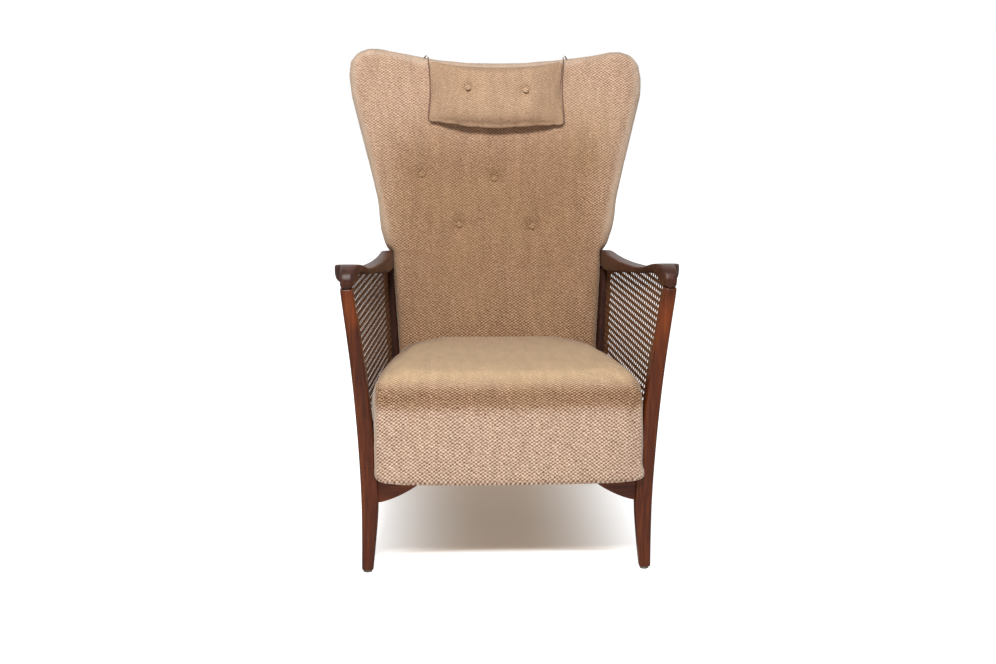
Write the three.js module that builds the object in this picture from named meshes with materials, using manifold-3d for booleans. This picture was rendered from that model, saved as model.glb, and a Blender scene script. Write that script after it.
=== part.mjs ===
// A fireside chair: a high back that fans out at the top, a sprung seat, caned sides and a head
// cushion that hangs from two cords over the top of the back.
// Millimetres, +Z up. The sitter faces -Y, and X = 0 is the middle plane. Left and right are
// as seen from the front. Heights are above the floor, and depths (Y) are measured from the
// front of the front feet; at the end the chair is moved so that its middle is at the origin.
import * as THREE from "three";
import { mergeVertices } from "three/addons/utils/BufferGeometryUtils.js";
import Module from "manifold-3d";

const wasm = await Module();
wasm.setup();

// Clearances
const fit = 0.3; // between hard pieces that touch
const softGap = 2; // between upholstery and the frame beside it
const overrun = 4; // a cutting shape runs this far past what it cuts
const weld = 1e-3; // vertices nearer than this are one
const far = 3000; // farther than any piece

// How finely round shapes are drawn
const cornerStepCount = 2;
const legStationCount = 13;
const archStepCount = 8;
const roundSideCount = 12;
const glideSideCount = 16;
const buttonSideCount = 10;
const springStepCount = 8; // for each turn
const springSideCount = 4;
const cushionCordStepCount = 14;
const hangingCordStepCount = 16;
const cornerLimitShare = 0.45; // most of a section that one corner may take

// Seat frame
const railBottom = 222;
const railHeight = 50;
const railTop = railBottom + railHeight;
const railMiddle = (railBottom + railTop) / 2;
const sideRailThickness = 24;
const crossRailThickness = 24;
const frontRailDepth = 6; // front face behind the front of the feet
const rearRailDepth = 447;
const bracketBottom = 158; // lower edge of the front rail at the legs
const archHalfWidth = 160; // of its straight middle
const archEndShare = 0.93; // where the arch starts, of the leg's spread
const archPullShares = [0.53, 0.14]; // the arch's pull point between its ends
const tenonLength = 13;
const tenonThickness = 10;
const tenonShoulder = 9; // rail left above and below a tenon
const blockLeg = 70; // corner block, from the rails' middles
const blockInset = 4; // below the top and above the bottom of the rails

// Front leg: largest sizes, and how they run from the floor to the arm
const glideHeight = 6;
const glideRadius = 10.5;
const glideFootShare = 0.9;
const legTop = 630;
const frontLegSpread = 302; // middle plane to the centre of a front foot
const frontLegWidth = 37;
const frontLegDepth = 42;
const legRadius = 7;
const frontSpreadShares = [[0, 1], [0.12, 0.985], [0.25, 0.973], [0.42, 0.988], [0.7, 1.034], [1, 1.112]];
const frontWidthShares = [[0, 0.68], [0.12, 0.84], [0.25, 1], [0.42, 0.95], [0.7, 0.84], [1, 0.7]];
const frontDepthShares = [[0, 0.64], [0.12, 0.83], [0.25, 1], [0.42, 1], [0.7, 0.96], [1, 0.92]];
const frontLeanShares = [[0, 0], [0.3, -0.1], [1, -0.2]]; // front face, in leg depths

// Rear leg, in one piece with the post beside the back
const postTop = 567;
const rearLegSpread = 243;
const rearLegWidth = 29;
const rearLegDepth = 58;
const rearFootFront = 540;
const postLead = 8; // post's front face ahead of the back's front surface
const rearSpreadShares = [[0, 1], [0.43, 1.018], [0.68, 1.045], [0.83, 1.067], [1, 1.094]];
const rearWidthShares = [[0, 0.83], [0.43, 1], [0.68, 0.93], [1, 0.86]];
const rearDepthShares = [[0, 0.52], [0.22, 0.74], [0.43, 1], [0.54, 1], [0.83, 0.93], [1, 0.86]];
const rearSweepShares = [
  [0, 1], [0.1, 0.765], [0.22, 0.484], [0.33, 0.26], [0.43, 0.09], [0.52, 0.01], [0.6, 0], [1, 0],
];

// Arm: swells behind the front leg and thins to the post
const armFront = -10;
const armLength = 575;
const armSpread = 334;
const armWidth = 64;
const armRise = 42; // top of the leg to the arm's crest
const armRadius = 8;
const armTenonHeight = 18;
const armTenonWidth = 12;
const armTenonDepth = 20;
const armTopShares = [
  [0, 0.45], [0.008, 0.7], [0.02, 0.86], [0.045, 0.98], [0.085, 1.02], [0.13, 0.92], [0.18, 0.74],
  [0.24, 0.46], [0.33, 0.19], [0.45, 0], [0.6, -0.2], [0.8, -0.38], [0.92, -0.46], [0.98, -0.56], [1, -0.76],
];
const armBottomShares = [
  [0, 0.02], [0.04, 0], [0.075, 0], [0.1, 0.25], [0.13, 0.42], [0.18, 0.34], [0.24, 0.12],
  [0.33, -0.17], [0.45, -0.46], [0.6, -0.87], [0.75, -1.3], [0.87, -1.5], [0.94, -1.5], [1, -1.42],
];
const armSpreadShares = [
  [0, 1.002], [0.045, 1.003], [0.09, 1.002], [0.14, 0.999], [0.18, 0.988], [0.24, 0.968],
  [0.33, 0.931], [0.45, 0.89], [0.6, 0.85], [0.8, 0.814], [0.92, 0.803], [1, 0.8],
];
const armWidthShares = [
  [0, 0.34], [0.008, 0.4], [0.02, 0.46], [0.045, 0.55], [0.075, 0.74], [0.1, 0.9], [0.13, 0.99], [0.18, 1],
  [0.24, 0.94], [0.33, 0.78], [0.45, 0.64], [0.6, 0.56], [0.8, 0.52], [0.92, 0.5], [0.98, 0.45], [1, 0.3],
];
// width of its underside, of its width there
const armFootShares = [
  [0, 1], [0.03, 0.98], [0.06, 0.84], [0.09, 0.68], [0.13, 0.6], [0.18, 0.64], [0.26, 0.8], [0.36, 0.96],
  [0.45, 1], [1, 1],
];
const armExtraShares = [0.06, 0.105, 0.28, 0.39, 0.52, 0.7, 0.86]; // sections between those of its top

// Back, drawn flat and then leaned: X across, Y into its thickness, Z up its slope
const backSlope = 0.32; // depth gained for each millimetre of height
const backFoot = railTop + fit; // height where the back stands on the rear rail
const backFootDepth = 420; // its front surface there
const backLength = 856; // up the slope, from the rear rail to the two peaks
const backHalfWidth = 357.5;
const backThickness = 62;
const backCentreShare = 0.62; // up the back, where its rings shrink to
const backOutlineShares = [
  [0, 0], [0.3, 0], [0.62, 0], [0.652, 0.02], [0.663, 0.15], [0.678, 0.245], [0.697, 0.356],
  [0.703, 0.412], [0.733, 0.443], [0.76, 0.481], [0.814, 0.582], [0.87, 0.681], [0.927, 0.775],
  [0.982, 0.866], [1, 0.927], [0.99, 0.965], [0.943, 0.989], [0.873, 1], [0.797, 0.999],
  [0.696, 0.99], [0.565, 0.98], [0.406, 0.967], [0.187, 0.959], [0, 0.958],
];
// share of the outline's size, and share of the thickness from the front
const backSectionShares = [
  [0.5, 1], [0.965, 1], [0.99, 0.93], [1, 0.7], [1, 0.4], [0.99, 0.17], [0.965, 0.04], [0.93, 0],
  [0.8, 0.03], [0.55, 0.09], [0.25, 0.12],
];
const backStuffing = 22; // in front of the back's frame
const stileFootSpread = 198;
const stileTopSpread = 255;
const stileLength = 798;
const stileWidth = 42;
const backFrameThickness = 26;
const backRailHeight = 52;
const backRailInset = 12; // top rail below the stiles' tops
const coverThickness = 4.8;
const coverShare = 0.97; // of the back's outline
const clothThickness = 1;

// Bolts that hold the back's stiles to the posts
const boltRadius = 3;
const boltHeadRadius = 6;
const boltHeadHeight = 4;
const boltRecess = 5;
const boltReach = 16; // into a stile
const boltHeights = [355, 480];
const boltDepthShare = 0.35; // of the stile's thickness

// Buttons: three over two on the back, of which one has come off, and two on the head cushion
const buttonRadius = 8.5;
const buttonHeight = 6;
const buttonProfileShares = [[0, 0], [0.8, 0], [1, 0.25], [0.93, 0.6], [0.62, 0.9], [0, 1]];
const dimpleDepth = 8;
const dimpleRadius = 36;
const dimpleStepCount = 4;
const backButtonShares = [[-0.509, 0.635], [-0.014, 0.624], [-0.256, 0.49], [0.242, 0.485]]; // across and up
const headDimpleDepth = 6;
const headDimpleRadius = 30;
const headButtonShares = [[-0.427, 0.515], [0.427, 0.48]]; // across and up

// Seat
const seatBottom = 207; // lower edge of the front
const seatTop = 444;
const seatFall = 19; // its top at the rear, below its crest near the front
const seatHalfWidth = 286;
const seatFront = -36;
const seatRear = 468;
const seatCentreShare = 0.5;
const seatOutlineShares = [
  [0, 0], [0.5, 0.002], [0.8, 0.008], [0.925, 0.022], [0.985, 0.055], [1, 0.11], [0.985, 0.28],
  [0.955, 0.42], [0.92, 0.57], [0.885, 0.72], [0.855, 0.85], [0.83, 0.93], [0.78, 0.98], [0.66, 1], [0, 1],
];
const seatSectionShares = [
  [0.5, 0], [0.96, 0], [0.985, 0.015], [1, 0.06], [1, 0.3], [1, 0.55], [0.997, 0.75], [0.985, 0.845],
  [0.955, 0.905], [0.89, 0.95], [0.75, 0.985], [0.5, 1], [0.2, 1],
];
const seatFallShares = [[0, 0], [0.17, 0.06], [0.47, 0.42], [0.8, 0.97], [1, 1]];
const seatBowShare = 0.02; // bottom corners lifted, of the seat's thickness
const cavityWall = 30;
const cavityTop = 382;
const cavityRear = 400;
const springColumnCount = 3;
const springRowCount = 3;
const springRadius = 37;
const springWaistShare = 0.7;
const springWire = 4;
const springTurnCount = 3;
const springPitchX = 128;
const springPitchY = 108;
const springMiddle = 215; // depth of the middle row

// Webbing
const webbingThickness = 2;
const strapWidth = 50;
const backStrapColumnCount = 3;
const backStrapPitchX = 120;
const backStrapRowCount = 4;
const backStrapPitchZ = 150;
const backStrapsMiddle = 390;
const strapLapShare = 0.25; // of a stile, past its middle

// Cane
const caneThickness = 3;
const grooveDepth = 5;
const grooveSlack = 0.5; // beside the panel, on each face
const caneColumnCount = 10;
const caneRowCount = 7;
const caneBorderShare = 0.06;
const caneStrandShare = 0.42; // of the pitch

// Head cushion and its cords
const cushionHalfWidth = 164;
const cushionHeight = 156;
const cushionFoot = 664; // up the back's slope
const cushionThickness = 56;
const cushionGap = 0.6;
const cushionCentreShare = 0.48;
const cushionOutlineShares = [
  [0, -0.07], [0.35, -0.055], [0.75, -0.015], [0.95, 0.01], [1, 0.025], [0.985, 0.25], [0.97, 0.5],
  [0.978, 0.75], [0.99, 0.97], [0.95, 0.985], [0.75, 0.965], [0.35, 0.93], [0, 0.92],
];
const cushionSectionShares = [
  [0.4, 0], [0.75, 0.03], [0.9, 0.16], [0.97, 0.32], [1, 0.46], [1, 0.54], [0.97, 0.64],
  [0.9, 0.78], [0.75, 0.91], [0.5, 0.985], [0.2, 1],
];
const cordRadius = 2;
const cordSideCount = 8;
const cordPivotLift = 3.4; // cord's middle above the top of the back
const cordRear = 62; // down the rear of the back
const cordBend = 6; // drop where it turns down the rear
const cordBendShare = 0.85; // of the back's thickness, where that turn starts
const cordLeadShares = [[0.75, 0.5], [0.35, 0.9]]; // of the seam's depth and of the rise to the pivot

// Finishes
const stainedWood = { color: 0x4c2413, roughness: 0.36 };
const plainWood = { color: 0xb08a5a, roughness: 0.7 };
const plush = { color: 0xb6926f, roughness: 0.95 };
const caneFinish = { color: 0x6a4425, roughness: 0.55 };
const springSteel = { color: 0x70706c, roughness: 0.4, metalness: 0.9 };
const jute = { color: 0xa8854f, roughness: 0.95 };
const blackCloth = { color: 0x1c1b1a, roughness: 0.95 };
const twistedCord = { color: 0x6b4c3b, roughness: 0.9 };
const nylon = { color: 0x6f675d, roughness: 0.6 };

// Helpers

// Reads a table of [place, value] shares smoothly at any place from 0 to 1.
function run(rows) {
  const spline = new THREE.CubicInterpolant(rows.map((row) => row[0]), rows.map((row) => row[1]), 1);
  return (place) => spline.evaluate(THREE.MathUtils.clamp(place, 0, 1))[0];
}

// A rounded rectangle round its centre, as points that run anticlockwise.
function roundedRing(width, height, radius) {
  const r = Math.min(radius, width * cornerLimitShare, height * cornerLimitShare);
  const points = [];
  for (let corner = 0; corner < 4; corner += 1) {
    const cx = (corner === 0 || corner === 3 ? 1 : -1) * (width / 2 - r);
    const cy = (corner < 2 ? 1 : -1) * (height / 2 - r);
    for (let step = 0; step <= cornerStepCount; step += 1) {
      const angle = (corner + step / cornerStepCount) * (Math.PI / 2);
      points.push(new THREE.Vector2(cx + r * Math.cos(angle), cy + r * Math.sin(angle)));
    }
  }
  return points;
}

// Turns a closed indexed geometry's faces outward if they point in.
function facingOut(geometry) {
  const at = geometry.getAttribute("position");
  const index = Array.from(geometry.index.array);
  const corner = (i) => new THREE.Vector3().fromBufferAttribute(at, index[i]);
  let volume = 0;
  for (let i = 0; i < index.length; i += 3) volume += corner(i).dot(corner(i + 1).cross(corner(i + 2)));
  if (volume < 0) index.reverse();
  return geometry.setIndex(index);
}

// three.js geometry to a solid that can be cut and joined, and back.
function solidOf(geometry) {
  const bare = new THREE.BufferGeometry();
  bare.setAttribute("position", geometry.getAttribute("position"));
  bare.setIndex(geometry.index);
  const merged = facingOut(mergeVertices(bare, weld));
  return new wasm.Manifold(new wasm.Mesh({
    numProp: 3,
    vertProperties: merged.getAttribute("position").array,
    triVerts: new Uint32Array(merged.index.array),
  }));
}

function geometryOf(solid) {
  const mesh = solid.getMesh();
  const geometry = new THREE.BufferGeometry();
  geometry.setAttribute("position", new THREE.BufferAttribute(mesh.vertProperties, 3));
  geometry.setIndex(new THREE.BufferAttribute(mesh.triVerts, 1));
  geometry.computeVertexNormals();
  return geometry;
}

// A closed solid through rings that hold the same number of points.
function loft(rings) {
  const count = rings[0].length;
  const middle = (ring) => ring.reduce((sum, p) => sum.add(p), new THREE.Vector3()).divideScalar(count);
  const points = [...rings.flat(), middle(rings[0]), middle(rings.at(-1))];
  const faces = [];
  for (let i = 0; i < count; i += 1) {
    const j = (i + 1) % count;
    for (let k = 0; k < rings.length - 1; k += 1) {
      const [low, high] = [k * count, (k + 1) * count];
      faces.push(low + i, low + j, high + j, low + i, high + j, high + i);
    }
    const last = (rings.length - 1) * count;
    faces.push(points.length - 2, j, i, points.length - 1, last + i, last + j);
  }
  return solidOf(new THREE.BufferGeometry().setFromPoints(points).setIndex(faces));
}

// A flat plate: an outline of [x, z] points with a thickness along Y.
function plate(outline, front, rear) {
  return loft([front, rear].map((y) => outline.map(([x, z]) => new THREE.Vector3(x, y, z))));
}

// A level slab: an outline of [x, y] points between two heights.
function slab(outline, bottom, top) {
  return loft([bottom, top].map((z) => outline.map(([x, y]) => new THREE.Vector3(x, y, z))));
}

function block(low, high) {
  return slab([[low[0], low[1]], [high[0], low[1]], [high[0], high[1]], [low[0], high[1]]], low[2], high[2]);
}

// A straight upright board between two places in plan, grown alike on every side.
function board(from, to, thickness, bottom, top, grow = 0) {
  const ahead = to.clone().sub(from).normalize();
  const aside = new THREE.Vector2(-ahead.y, ahead.x).multiplyScalar(thickness / 2 + grow);
  const [start, end] = [from.clone().addScaledVector(ahead, -grow), to.clone().addScaledVector(ahead, grow)];
  const corners = [
    start.clone().add(aside), start.clone().sub(aside),
    end.clone().sub(aside), end.clone().add(aside),
  ];
  return slab(corners.map((p) => [p.x, p.y]), bottom - grow, top + grow);
}

// A round tube of even thickness through points.
function tube(points, radius, sides, steps) {
  const middle = new THREE.Vector2();
  const corner = (i) => new THREE.Vector2(radius, 0).rotateAround(middle, (2 * Math.PI * i) / sides);
  const section = new THREE.Shape(Array.from({ length: sides }, (_, i) => corner(i)));
  const extrudePath = new THREE.CatmullRomCurve3(points);
  return solidOf(new THREE.ExtrudeGeometry(section, { steps, extrudePath }));
}

// A right half outline of [x, z] shares to a whole outline, in millimetres.
function wholeOutline(shares, halfWidth, length, foot = 0) {
  const right = shares.map(([x, z]) => new THREE.Vector2(x * halfWidth, foot + z * length));
  const left = right.slice(1, -1).reverse().map((p) => new THREE.Vector2(-p.x, p.y));
  return [...right, ...left];
}

// A stuffed form: its outline shrinks towards its centre on both faces, as the section says.
function stuffed(outline, centre, sectionShares, place) {
  const ring = ([size, depth]) => outline.map((p) => place(centre.clone().lerp(p, size), depth));
  return loft(sectionShares.map(ring));
}

// How far along +Y a solid's nearest face lies at x, z.
function frontOf(solid, x, z) {
  const ray = new THREE.Raycaster(new THREE.Vector3(x, -far, z), new THREE.Vector3(0, 1, 0));
  return ray.intersectObject(new THREE.Mesh(geometryOf(solid)))[0].point.y;
}

const mirrored = (solid) => solid.mirror([1, 0, 0]);
const bothSides = (solid) => solid.add(mirrored(solid));

// Legs

const frontSpread = run(frontSpreadShares);
const frontWidth = run(frontWidthShares);
const frontDepth = run(frontDepthShares);
const frontLean = run(frontLeanShares);
const rearSpread = run(rearSpreadShares);
const rearWidth = run(rearWidthShares);
const rearDepth = run(rearDepthShares);
const rearSweep = run(rearSweepShares);

function frontLegAt(z) {
  const share = z / legTop;
  const depth = frontLegDepth * frontDepth(share);
  return {
    x: frontLegSpread * frontSpread(share),
    y: frontLegDepth * frontLean(share) + depth / 2,
    width: frontLegWidth * frontWidth(share),
    depth,
  };
}

const backFrontAt = (z) => backFootDepth + backSlope * (z - backFoot);

function rearLegAt(z) {
  const share = z / postTop;
  const depth = rearLegDepth * rearDepth(share);
  const postFront = backFrontAt(z) - postLead;
  const sweep = (rearFootFront - backFrontAt(0) + postLead) * rearSweep(share);
  return {
    x: rearLegSpread * rearSpread(share),
    y: postFront + sweep + depth / 2,
    width: rearLegWidth * rearWidth(share),
    depth,
  };
}

const planOf = (at) => new THREE.Vector2(at.x, at.y);

function legBody(legAt, top, grow) {
  const rings = [];
  for (let k = 0; k <= legStationCount; k += 1) {
    const z = THREE.MathUtils.lerp(glideHeight, top, k / legStationCount);
    const at = legAt(z);
    const lift = k === 0 ? -grow : k === legStationCount ? grow : 0;
    const ring = roundedRing(at.width + 2 * grow, at.depth + 2 * grow, legRadius + grow);
    rings.push(ring.map((p) => new THREE.Vector3(at.x + p.x, at.y + p.y, z + lift)));
  }
  return loft(rings);
}

function armTenon(legAt, top, grow) {
  const at = legAt(top);
  const [dx, dy] = [armTenonWidth / 2 + grow, armTenonDepth / 2 + grow];
  return block([at.x - dx, at.y - dy, top - overrun], [at.x + dx, at.y + dy, top + armTenonHeight + grow]);
}

const frontLegSolid = (grow) => legBody(frontLegAt, legTop, grow).add(armTenon(frontLegAt, legTop, grow));
const rearLegSolid = (grow) => legBody(rearLegAt, postTop, grow).add(armTenon(rearLegAt, postTop, grow));

// Rails of the seat frame, with a tenon at each end

const frontPost = frontLegAt(railMiddle);
const rearPost = rearLegAt(railMiddle);
const sideLine = [planOf(frontPost), planOf(rearPost)];
const tenonBottom = railBottom + tenonShoulder;
const tenonTop = railTop - tenonShoulder;

// x of a side rail's middle line at a depth.
function sideLineAt(y) {
  const share = (y - sideLine[0].y) / (sideLine[1].y - sideLine[0].y);
  return THREE.MathUtils.lerp(sideLine[0].x, sideLine[1].x, share);
}

function sideRailTenons(grow) {
  const ahead = sideLine[1].clone().sub(sideLine[0]).normalize();
  const from = sideLine[0].clone().addScaledVector(ahead, frontPost.depth / 2 - tenonLength);
  const to = sideLine[1].clone().addScaledVector(ahead, tenonLength - rearPost.depth / 2);
  return board(from, to, tenonThickness, tenonBottom, tenonTop, grow);
}

const sideRailBody = (grow) => board(...sideLine, sideRailThickness, railBottom, railTop, grow);

function crossTenons(post, railDepth, grow) {
  const reach = post.x - post.width / 2 + tenonLength;
  const y = railDepth + crossRailThickness / 2;
  const [from, to] = [new THREE.Vector2(-reach, y), new THREE.Vector2(reach, y)];
  return board(from, to, tenonThickness, tenonBottom, tenonTop, grow);
}

function rearRailBody(grow) {
  const low = [-rearPost.x, rearRailDepth - grow, railBottom - grow];
  return block(low, [rearPost.x, rearRailDepth + crossRailThickness + grow, railTop + grow]);
}

// The front rail's lower edge is an arch between two brackets that meet the legs.
function frontRailBody(grow) {
  const archEnd = frontLegSpread * archEndShare;
  const pullX = THREE.MathUtils.lerp(archHalfWidth, archEnd, archPullShares[0]);
  const pullZ = THREE.MathUtils.lerp(bracketBottom, railBottom, archPullShares[1]);
  const shape = new THREE.Shape();
  shape.moveTo(-frontPost.x, railTop + grow);
  shape.lineTo(-frontPost.x, bracketBottom - grow);
  shape.lineTo(-archEnd, bracketBottom - grow);
  shape.quadraticCurveTo(-pullX, pullZ - grow, -archHalfWidth, railBottom - grow);
  shape.lineTo(archHalfWidth, railBottom - grow);
  shape.quadraticCurveTo(pullX, pullZ - grow, archEnd, bracketBottom - grow);
  shape.lineTo(frontPost.x, bracketBottom - grow);
  shape.lineTo(frontPost.x, railTop + grow);
  const depth = crossRailThickness + 2 * grow;
  const rail = new THREE.ExtrudeGeometry(shape, { depth, bevelEnabled: false, curveSegments: archStepCount });
  return solidOf(rail.rotateX(Math.PI / 2).translate(0, frontRailDepth + crossRailThickness + grow, 0));
}

function cornerBlock(post, railDepth, inward, legSolid) {
  const y = railDepth + crossRailThickness / 2;
  const outline = [[post.x, y], [post.x, y + inward * blockLeg], [post.x - blockLeg, y]];
  const railBody = inward > 0 ? frontRailBody(fit) : rearRailBody(fit);
  const prism = slab(outline, railBottom + blockInset, railTop - blockInset);
  return prism.subtract(railBody).subtract(sideRailBody(fit)).subtract(legSolid(fit));
}

// Arm

const armTop = run(armTopShares);
const armBottom = run(armBottomShares);
const armX = run(armSpreadShares);
const armBreadth = run(armWidthShares);
const armFoot = run(armFootShares);
const armBottomAt = (y) => legTop + fit + armRise * armBottom((y - armFront) / armLength);

function armBody(grow) {
  const places = armTopShares.map((row) => row[0]).concat(armExtraShares);
  places.sort((a, b) => a - b);
  return loft(places.map((share, k) => {
    const top = legTop + armRise * armTop(share) + grow;
    const bottom = armBottomAt(armFront + share * armLength) - grow;
    const ends = k === 0 ? -grow : k === places.length - 1 ? grow : 0;
    const ring = roundedRing(armWidth * armBreadth(share) + 2 * grow, top - bottom, armRadius + grow);
    const [x, y, z] = [armSpread * armX(share), armFront + share * armLength + ends, (top + bottom) / 2];
    return ring.map((p) => {
      const taper = THREE.MathUtils.lerp(armFoot(share), 1, THREE.MathUtils.smoothstep(z + p.y, bottom, top));
      return new THREE.Vector3(x + p.x * taper, y, z + p.y);
    });
  }));
}

// Cane panel: a ruled surface from the front leg's middle line to the post's

function canePoint(u, v, aside) {
  const bottom = railTop - grooveDepth;
  let z = THREE.MathUtils.lerp(bottom, legTop, v);
  let y = 0;
  for (let pass = 0; pass < 4; pass += 1) {
    const [leg, post] = [frontLegAt(z), rearLegAt(Math.min(z, postTop))];
    y = THREE.MathUtils.lerp(leg.y + leg.depth / 2 - grooveDepth, post.y - post.depth / 2 + grooveDepth, u);
    z = THREE.MathUtils.lerp(bottom, armBottomAt(y) + grooveDepth, v);
  }
  const x = THREE.MathUtils.lerp(frontLegAt(z).x, rearLegAt(Math.min(z, postTop)).x, u);
  return new THREE.Vector3(x + aside, y, z);
}

// Places of the grid's lines from one border to the other: hole, strand, hole.
function caneLines(count) {
  const pitch = (1 - 2 * caneBorderShare) / (count - caneStrandShare);
  const lines = [0];
  for (let i = 0; i < count; i += 1) {
    const start = caneBorderShare + i * pitch;
    lines.push(start, start + pitch * (1 - caneStrandShare));
  }
  return [...lines, 1];
}

// A sheet with two faces over a grid of lines; isOpen(i, j) tells which cells are holes.
function netSolid(columns, rows, thickness, place, isOpen) {
  const points = [];
  for (const aside of [thickness / 2, -thickness / 2])
    for (const v of rows) for (const u of columns) points.push(place(u, v, aside));
  const [wide, high] = [columns.length, rows.length];
  const point = (i, j, face) => face * wide * high + j * wide + i;
  const closed = (i, j) => i >= 0 && j >= 0 && i < wide - 1 && j < high - 1 && !isOpen(i, j);
  const faces = [];
  const quad = (a, b, c, d) => faces.push(a, b, c, a, c, d);
  const wall = (i, j, k, l) => quad(point(i, j, 0), point(i, j, 1), point(k, l, 1), point(k, l, 0));
  for (let j = 0; j < high - 1; j += 1)
    for (let i = 0; i < wide - 1; i += 1) {
      if (!closed(i, j)) continue;
      quad(point(i, j, 0), point(i + 1, j, 0), point(i + 1, j + 1, 0), point(i, j + 1, 0));
      quad(point(i, j, 1), point(i, j + 1, 1), point(i + 1, j + 1, 1), point(i + 1, j, 1));
      if (!closed(i, j - 1)) wall(i, j, i + 1, j);
      if (!closed(i + 1, j)) wall(i + 1, j, i + 1, j + 1);
      if (!closed(i, j + 1)) wall(i + 1, j + 1, i, j + 1);
      if (!closed(i - 1, j)) wall(i, j + 1, i, j);
    }
  return solidOf(new THREE.BufferGeometry().setFromPoints(points).setIndex(faces));
}

function canePanel() {
  const isOpen = (i, j) => i % 2 === 1 && j % 2 === 1;
  return netSolid(caneLines(caneColumnCount), caneLines(caneRowCount), caneThickness, canePoint, isOpen);
}

// What the grooves round the panel are cut with.
function caneSlot() {
  const edge = fit / grooveDepth / caneColumnCount; // a little past the panel on each side
  const wider = (share) => share + (share === 0 ? -edge : share === 1 ? edge : 0);
  const place = (u, v, aside) => canePoint(wider(u), wider(v), aside);
  const rows = caneLines(caneRowCount).filter((line, i) => i % 2 === 0 || line === 1);
  return netSolid(caneLines(caneColumnCount), rows, caneThickness + 2 * grooveSlack, place, () => false);
}

// Seat

const seatDepth = seatRear - seatFront;
const seatThickness = seatTop - seatBottom;
const seatFallAt = run(seatFallShares);

function seatBody() {
  const outline = wholeOutline(seatOutlineShares, seatHalfWidth, seatDepth, seatFront);
  const centre = new THREE.Vector2(0, seatFront + seatDepth * seatCentreShare);
  return stuffed(outline, centre, seatSectionShares, (p, share) => {
    const bow = seatBowShare * (p.x / seatHalfWidth) ** 4 * (1 - share);
    const thickness = seatThickness - seatFall * seatFallAt((p.y - seatFront) / seatDepth);
    return new THREE.Vector3(p.x, p.y, seatBottom + thickness * (share + bow));
  });
}

// The hollow over the springs, narrower towards the rear like the frame.
function cavityOutline(inset) {
  const ends = [frontRailDepth + crossRailThickness + cavityWall + inset, cavityRear - inset];
  const [front, rear] = ends.map((y) => sideLineAt(y) - sideRailThickness / 2 - cavityWall - inset);
  return [[-front, ends[0]], [front, ends[0]], [rear, ends[1]], [-rear, ends[1]]];
}

function seatPad() {
  const railCut = block([-far, frontRailDepth - softGap, -far], [far, far, railTop + softGap]);
  const backCut = leaned(block([-far, -softGap, -far], [far, far, far]));
  const legs = bothSides(frontLegSolid(softGap).add(rearLegSolid(softGap)));
  const cavity = slab(cavityOutline(0), railBottom, cavityTop);
  return seatBody().subtract(railCut).subtract(backCut).subtract(legs).subtract(cavity);
}

// An hourglass spring: one wire in a helix.
function spring(x, y) {
  const steps = springStepCount * springTurnCount;
  const bottom = railBottom + springWire / 2;
  const top = cavityTop - clothThickness - 2 * fit - springWire / 2;
  const rings = [];
  for (let k = 0; k <= steps; k += 1) {
    const share = k / steps;
    const angle = 2 * Math.PI * springTurnCount * share;
    const out = new THREE.Vector3(Math.cos(angle), Math.sin(angle), 0);
    const radius = springRadius * (springWaistShare + (1 - springWaistShare) * (2 * share - 1) ** 2);
    const height = THREE.MathUtils.lerp(bottom, top, share);
    const middle = new THREE.Vector3(x, y, height).addScaledVector(out, radius);
    const corner = (i) => {
      const turn = (2 * Math.PI * i) / springSideCount;
      const lift = new THREE.Vector3(0, 0, (springWire / 2) * Math.sin(turn));
      return middle.clone().addScaledVector(out, (springWire / 2) * Math.cos(turn)).add(lift);
    };
    rings.push(Array.from({ length: springSideCount }, (_, i) => corner(i)));
  }
  return loft(rings);
}

// Places of evenly spaced things about a middle.
const spaced = (count, pitch, middle = 0) =>
  Array.from({ length: count }, (_, i) => middle + (i - (count - 1) / 2) * pitch);

const springColumns = spaced(springColumnCount, springPitchX);
const springLines = spaced(springRowCount, springPitchY, springMiddle);

// Straps under the rails that cross beneath each spring.
function seatWebbing() {
  const [bottom, top] = [railBottom - fit - webbingThickness, railBottom - fit];
  const rear = rearRailDepth + crossRailThickness / 2;
  const front = frontRailDepth + crossRailThickness / 2;
  const half = strapWidth / 2;
  const lengthwise = springColumns.map((x) => block([x - half, front, bottom], [x + half, rear, top]));
  const across = springLines.map((y) => {
    const reach = sideLineAt(y + half);
    return block([-reach, y - half, bottom], [reach, y + half, top]);
  });
  return [...lengthwise, ...across].reduce((whole, strap) => whole.add(strap));
}

function bottomCover() {
  const top = railBottom - webbingThickness - 2 * fit;
  const [front, rear] = [frontRailDepth + crossRailThickness + fit, rearRailDepth + crossRailThickness / 2];
  const [wide, narrow] = [sideLineAt(front), sideLineAt(rear)];
  const outline = [[-wide, front], [wide, front], [narrow, rear], [-narrow, rear]];
  const legs = bothSides(frontLegSolid(fit).add(rearLegSolid(fit)));
  return slab(outline, top - clothThickness, top).subtract(legs);
}

// Back

const backAngle = Math.atan(backSlope);
const backPlace = new THREE.Matrix4()
  .makeTranslation(0, backFootDepth, backFoot)
  .multiply(new THREE.Matrix4().makeRotationX(-backAngle));
const leaned = (solid) => solid.transform(backPlace.elements);

// Leans a piece of the back and saws it level where it stands on the rear rail.
function stood(solid) {
  return leaned(solid).subtract(block([-far, -far, -far], [far, far, backFoot]));
}

const belowFoot = -backThickness * backSlope;
const stileAt = (z) => THREE.MathUtils.lerp(stileFootSpread, stileTopSpread, z / stileLength);
const frameRear = backStuffing + backFrameThickness;

function stileBody(grow) {
  const [inner, outer] = [-stileWidth / 2 - grow, stileWidth / 2 + grow];
  const [low, high] = [belowFoot, stileLength + grow];
  const outline = [[stileAt(low) + inner, low], [stileAt(low) + outer, low]];
  outline.push([stileAt(high) + outer, high], [stileAt(high) + inner, high]);
  return plate(outline, backStuffing - grow, frameRear + grow);
}

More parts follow.
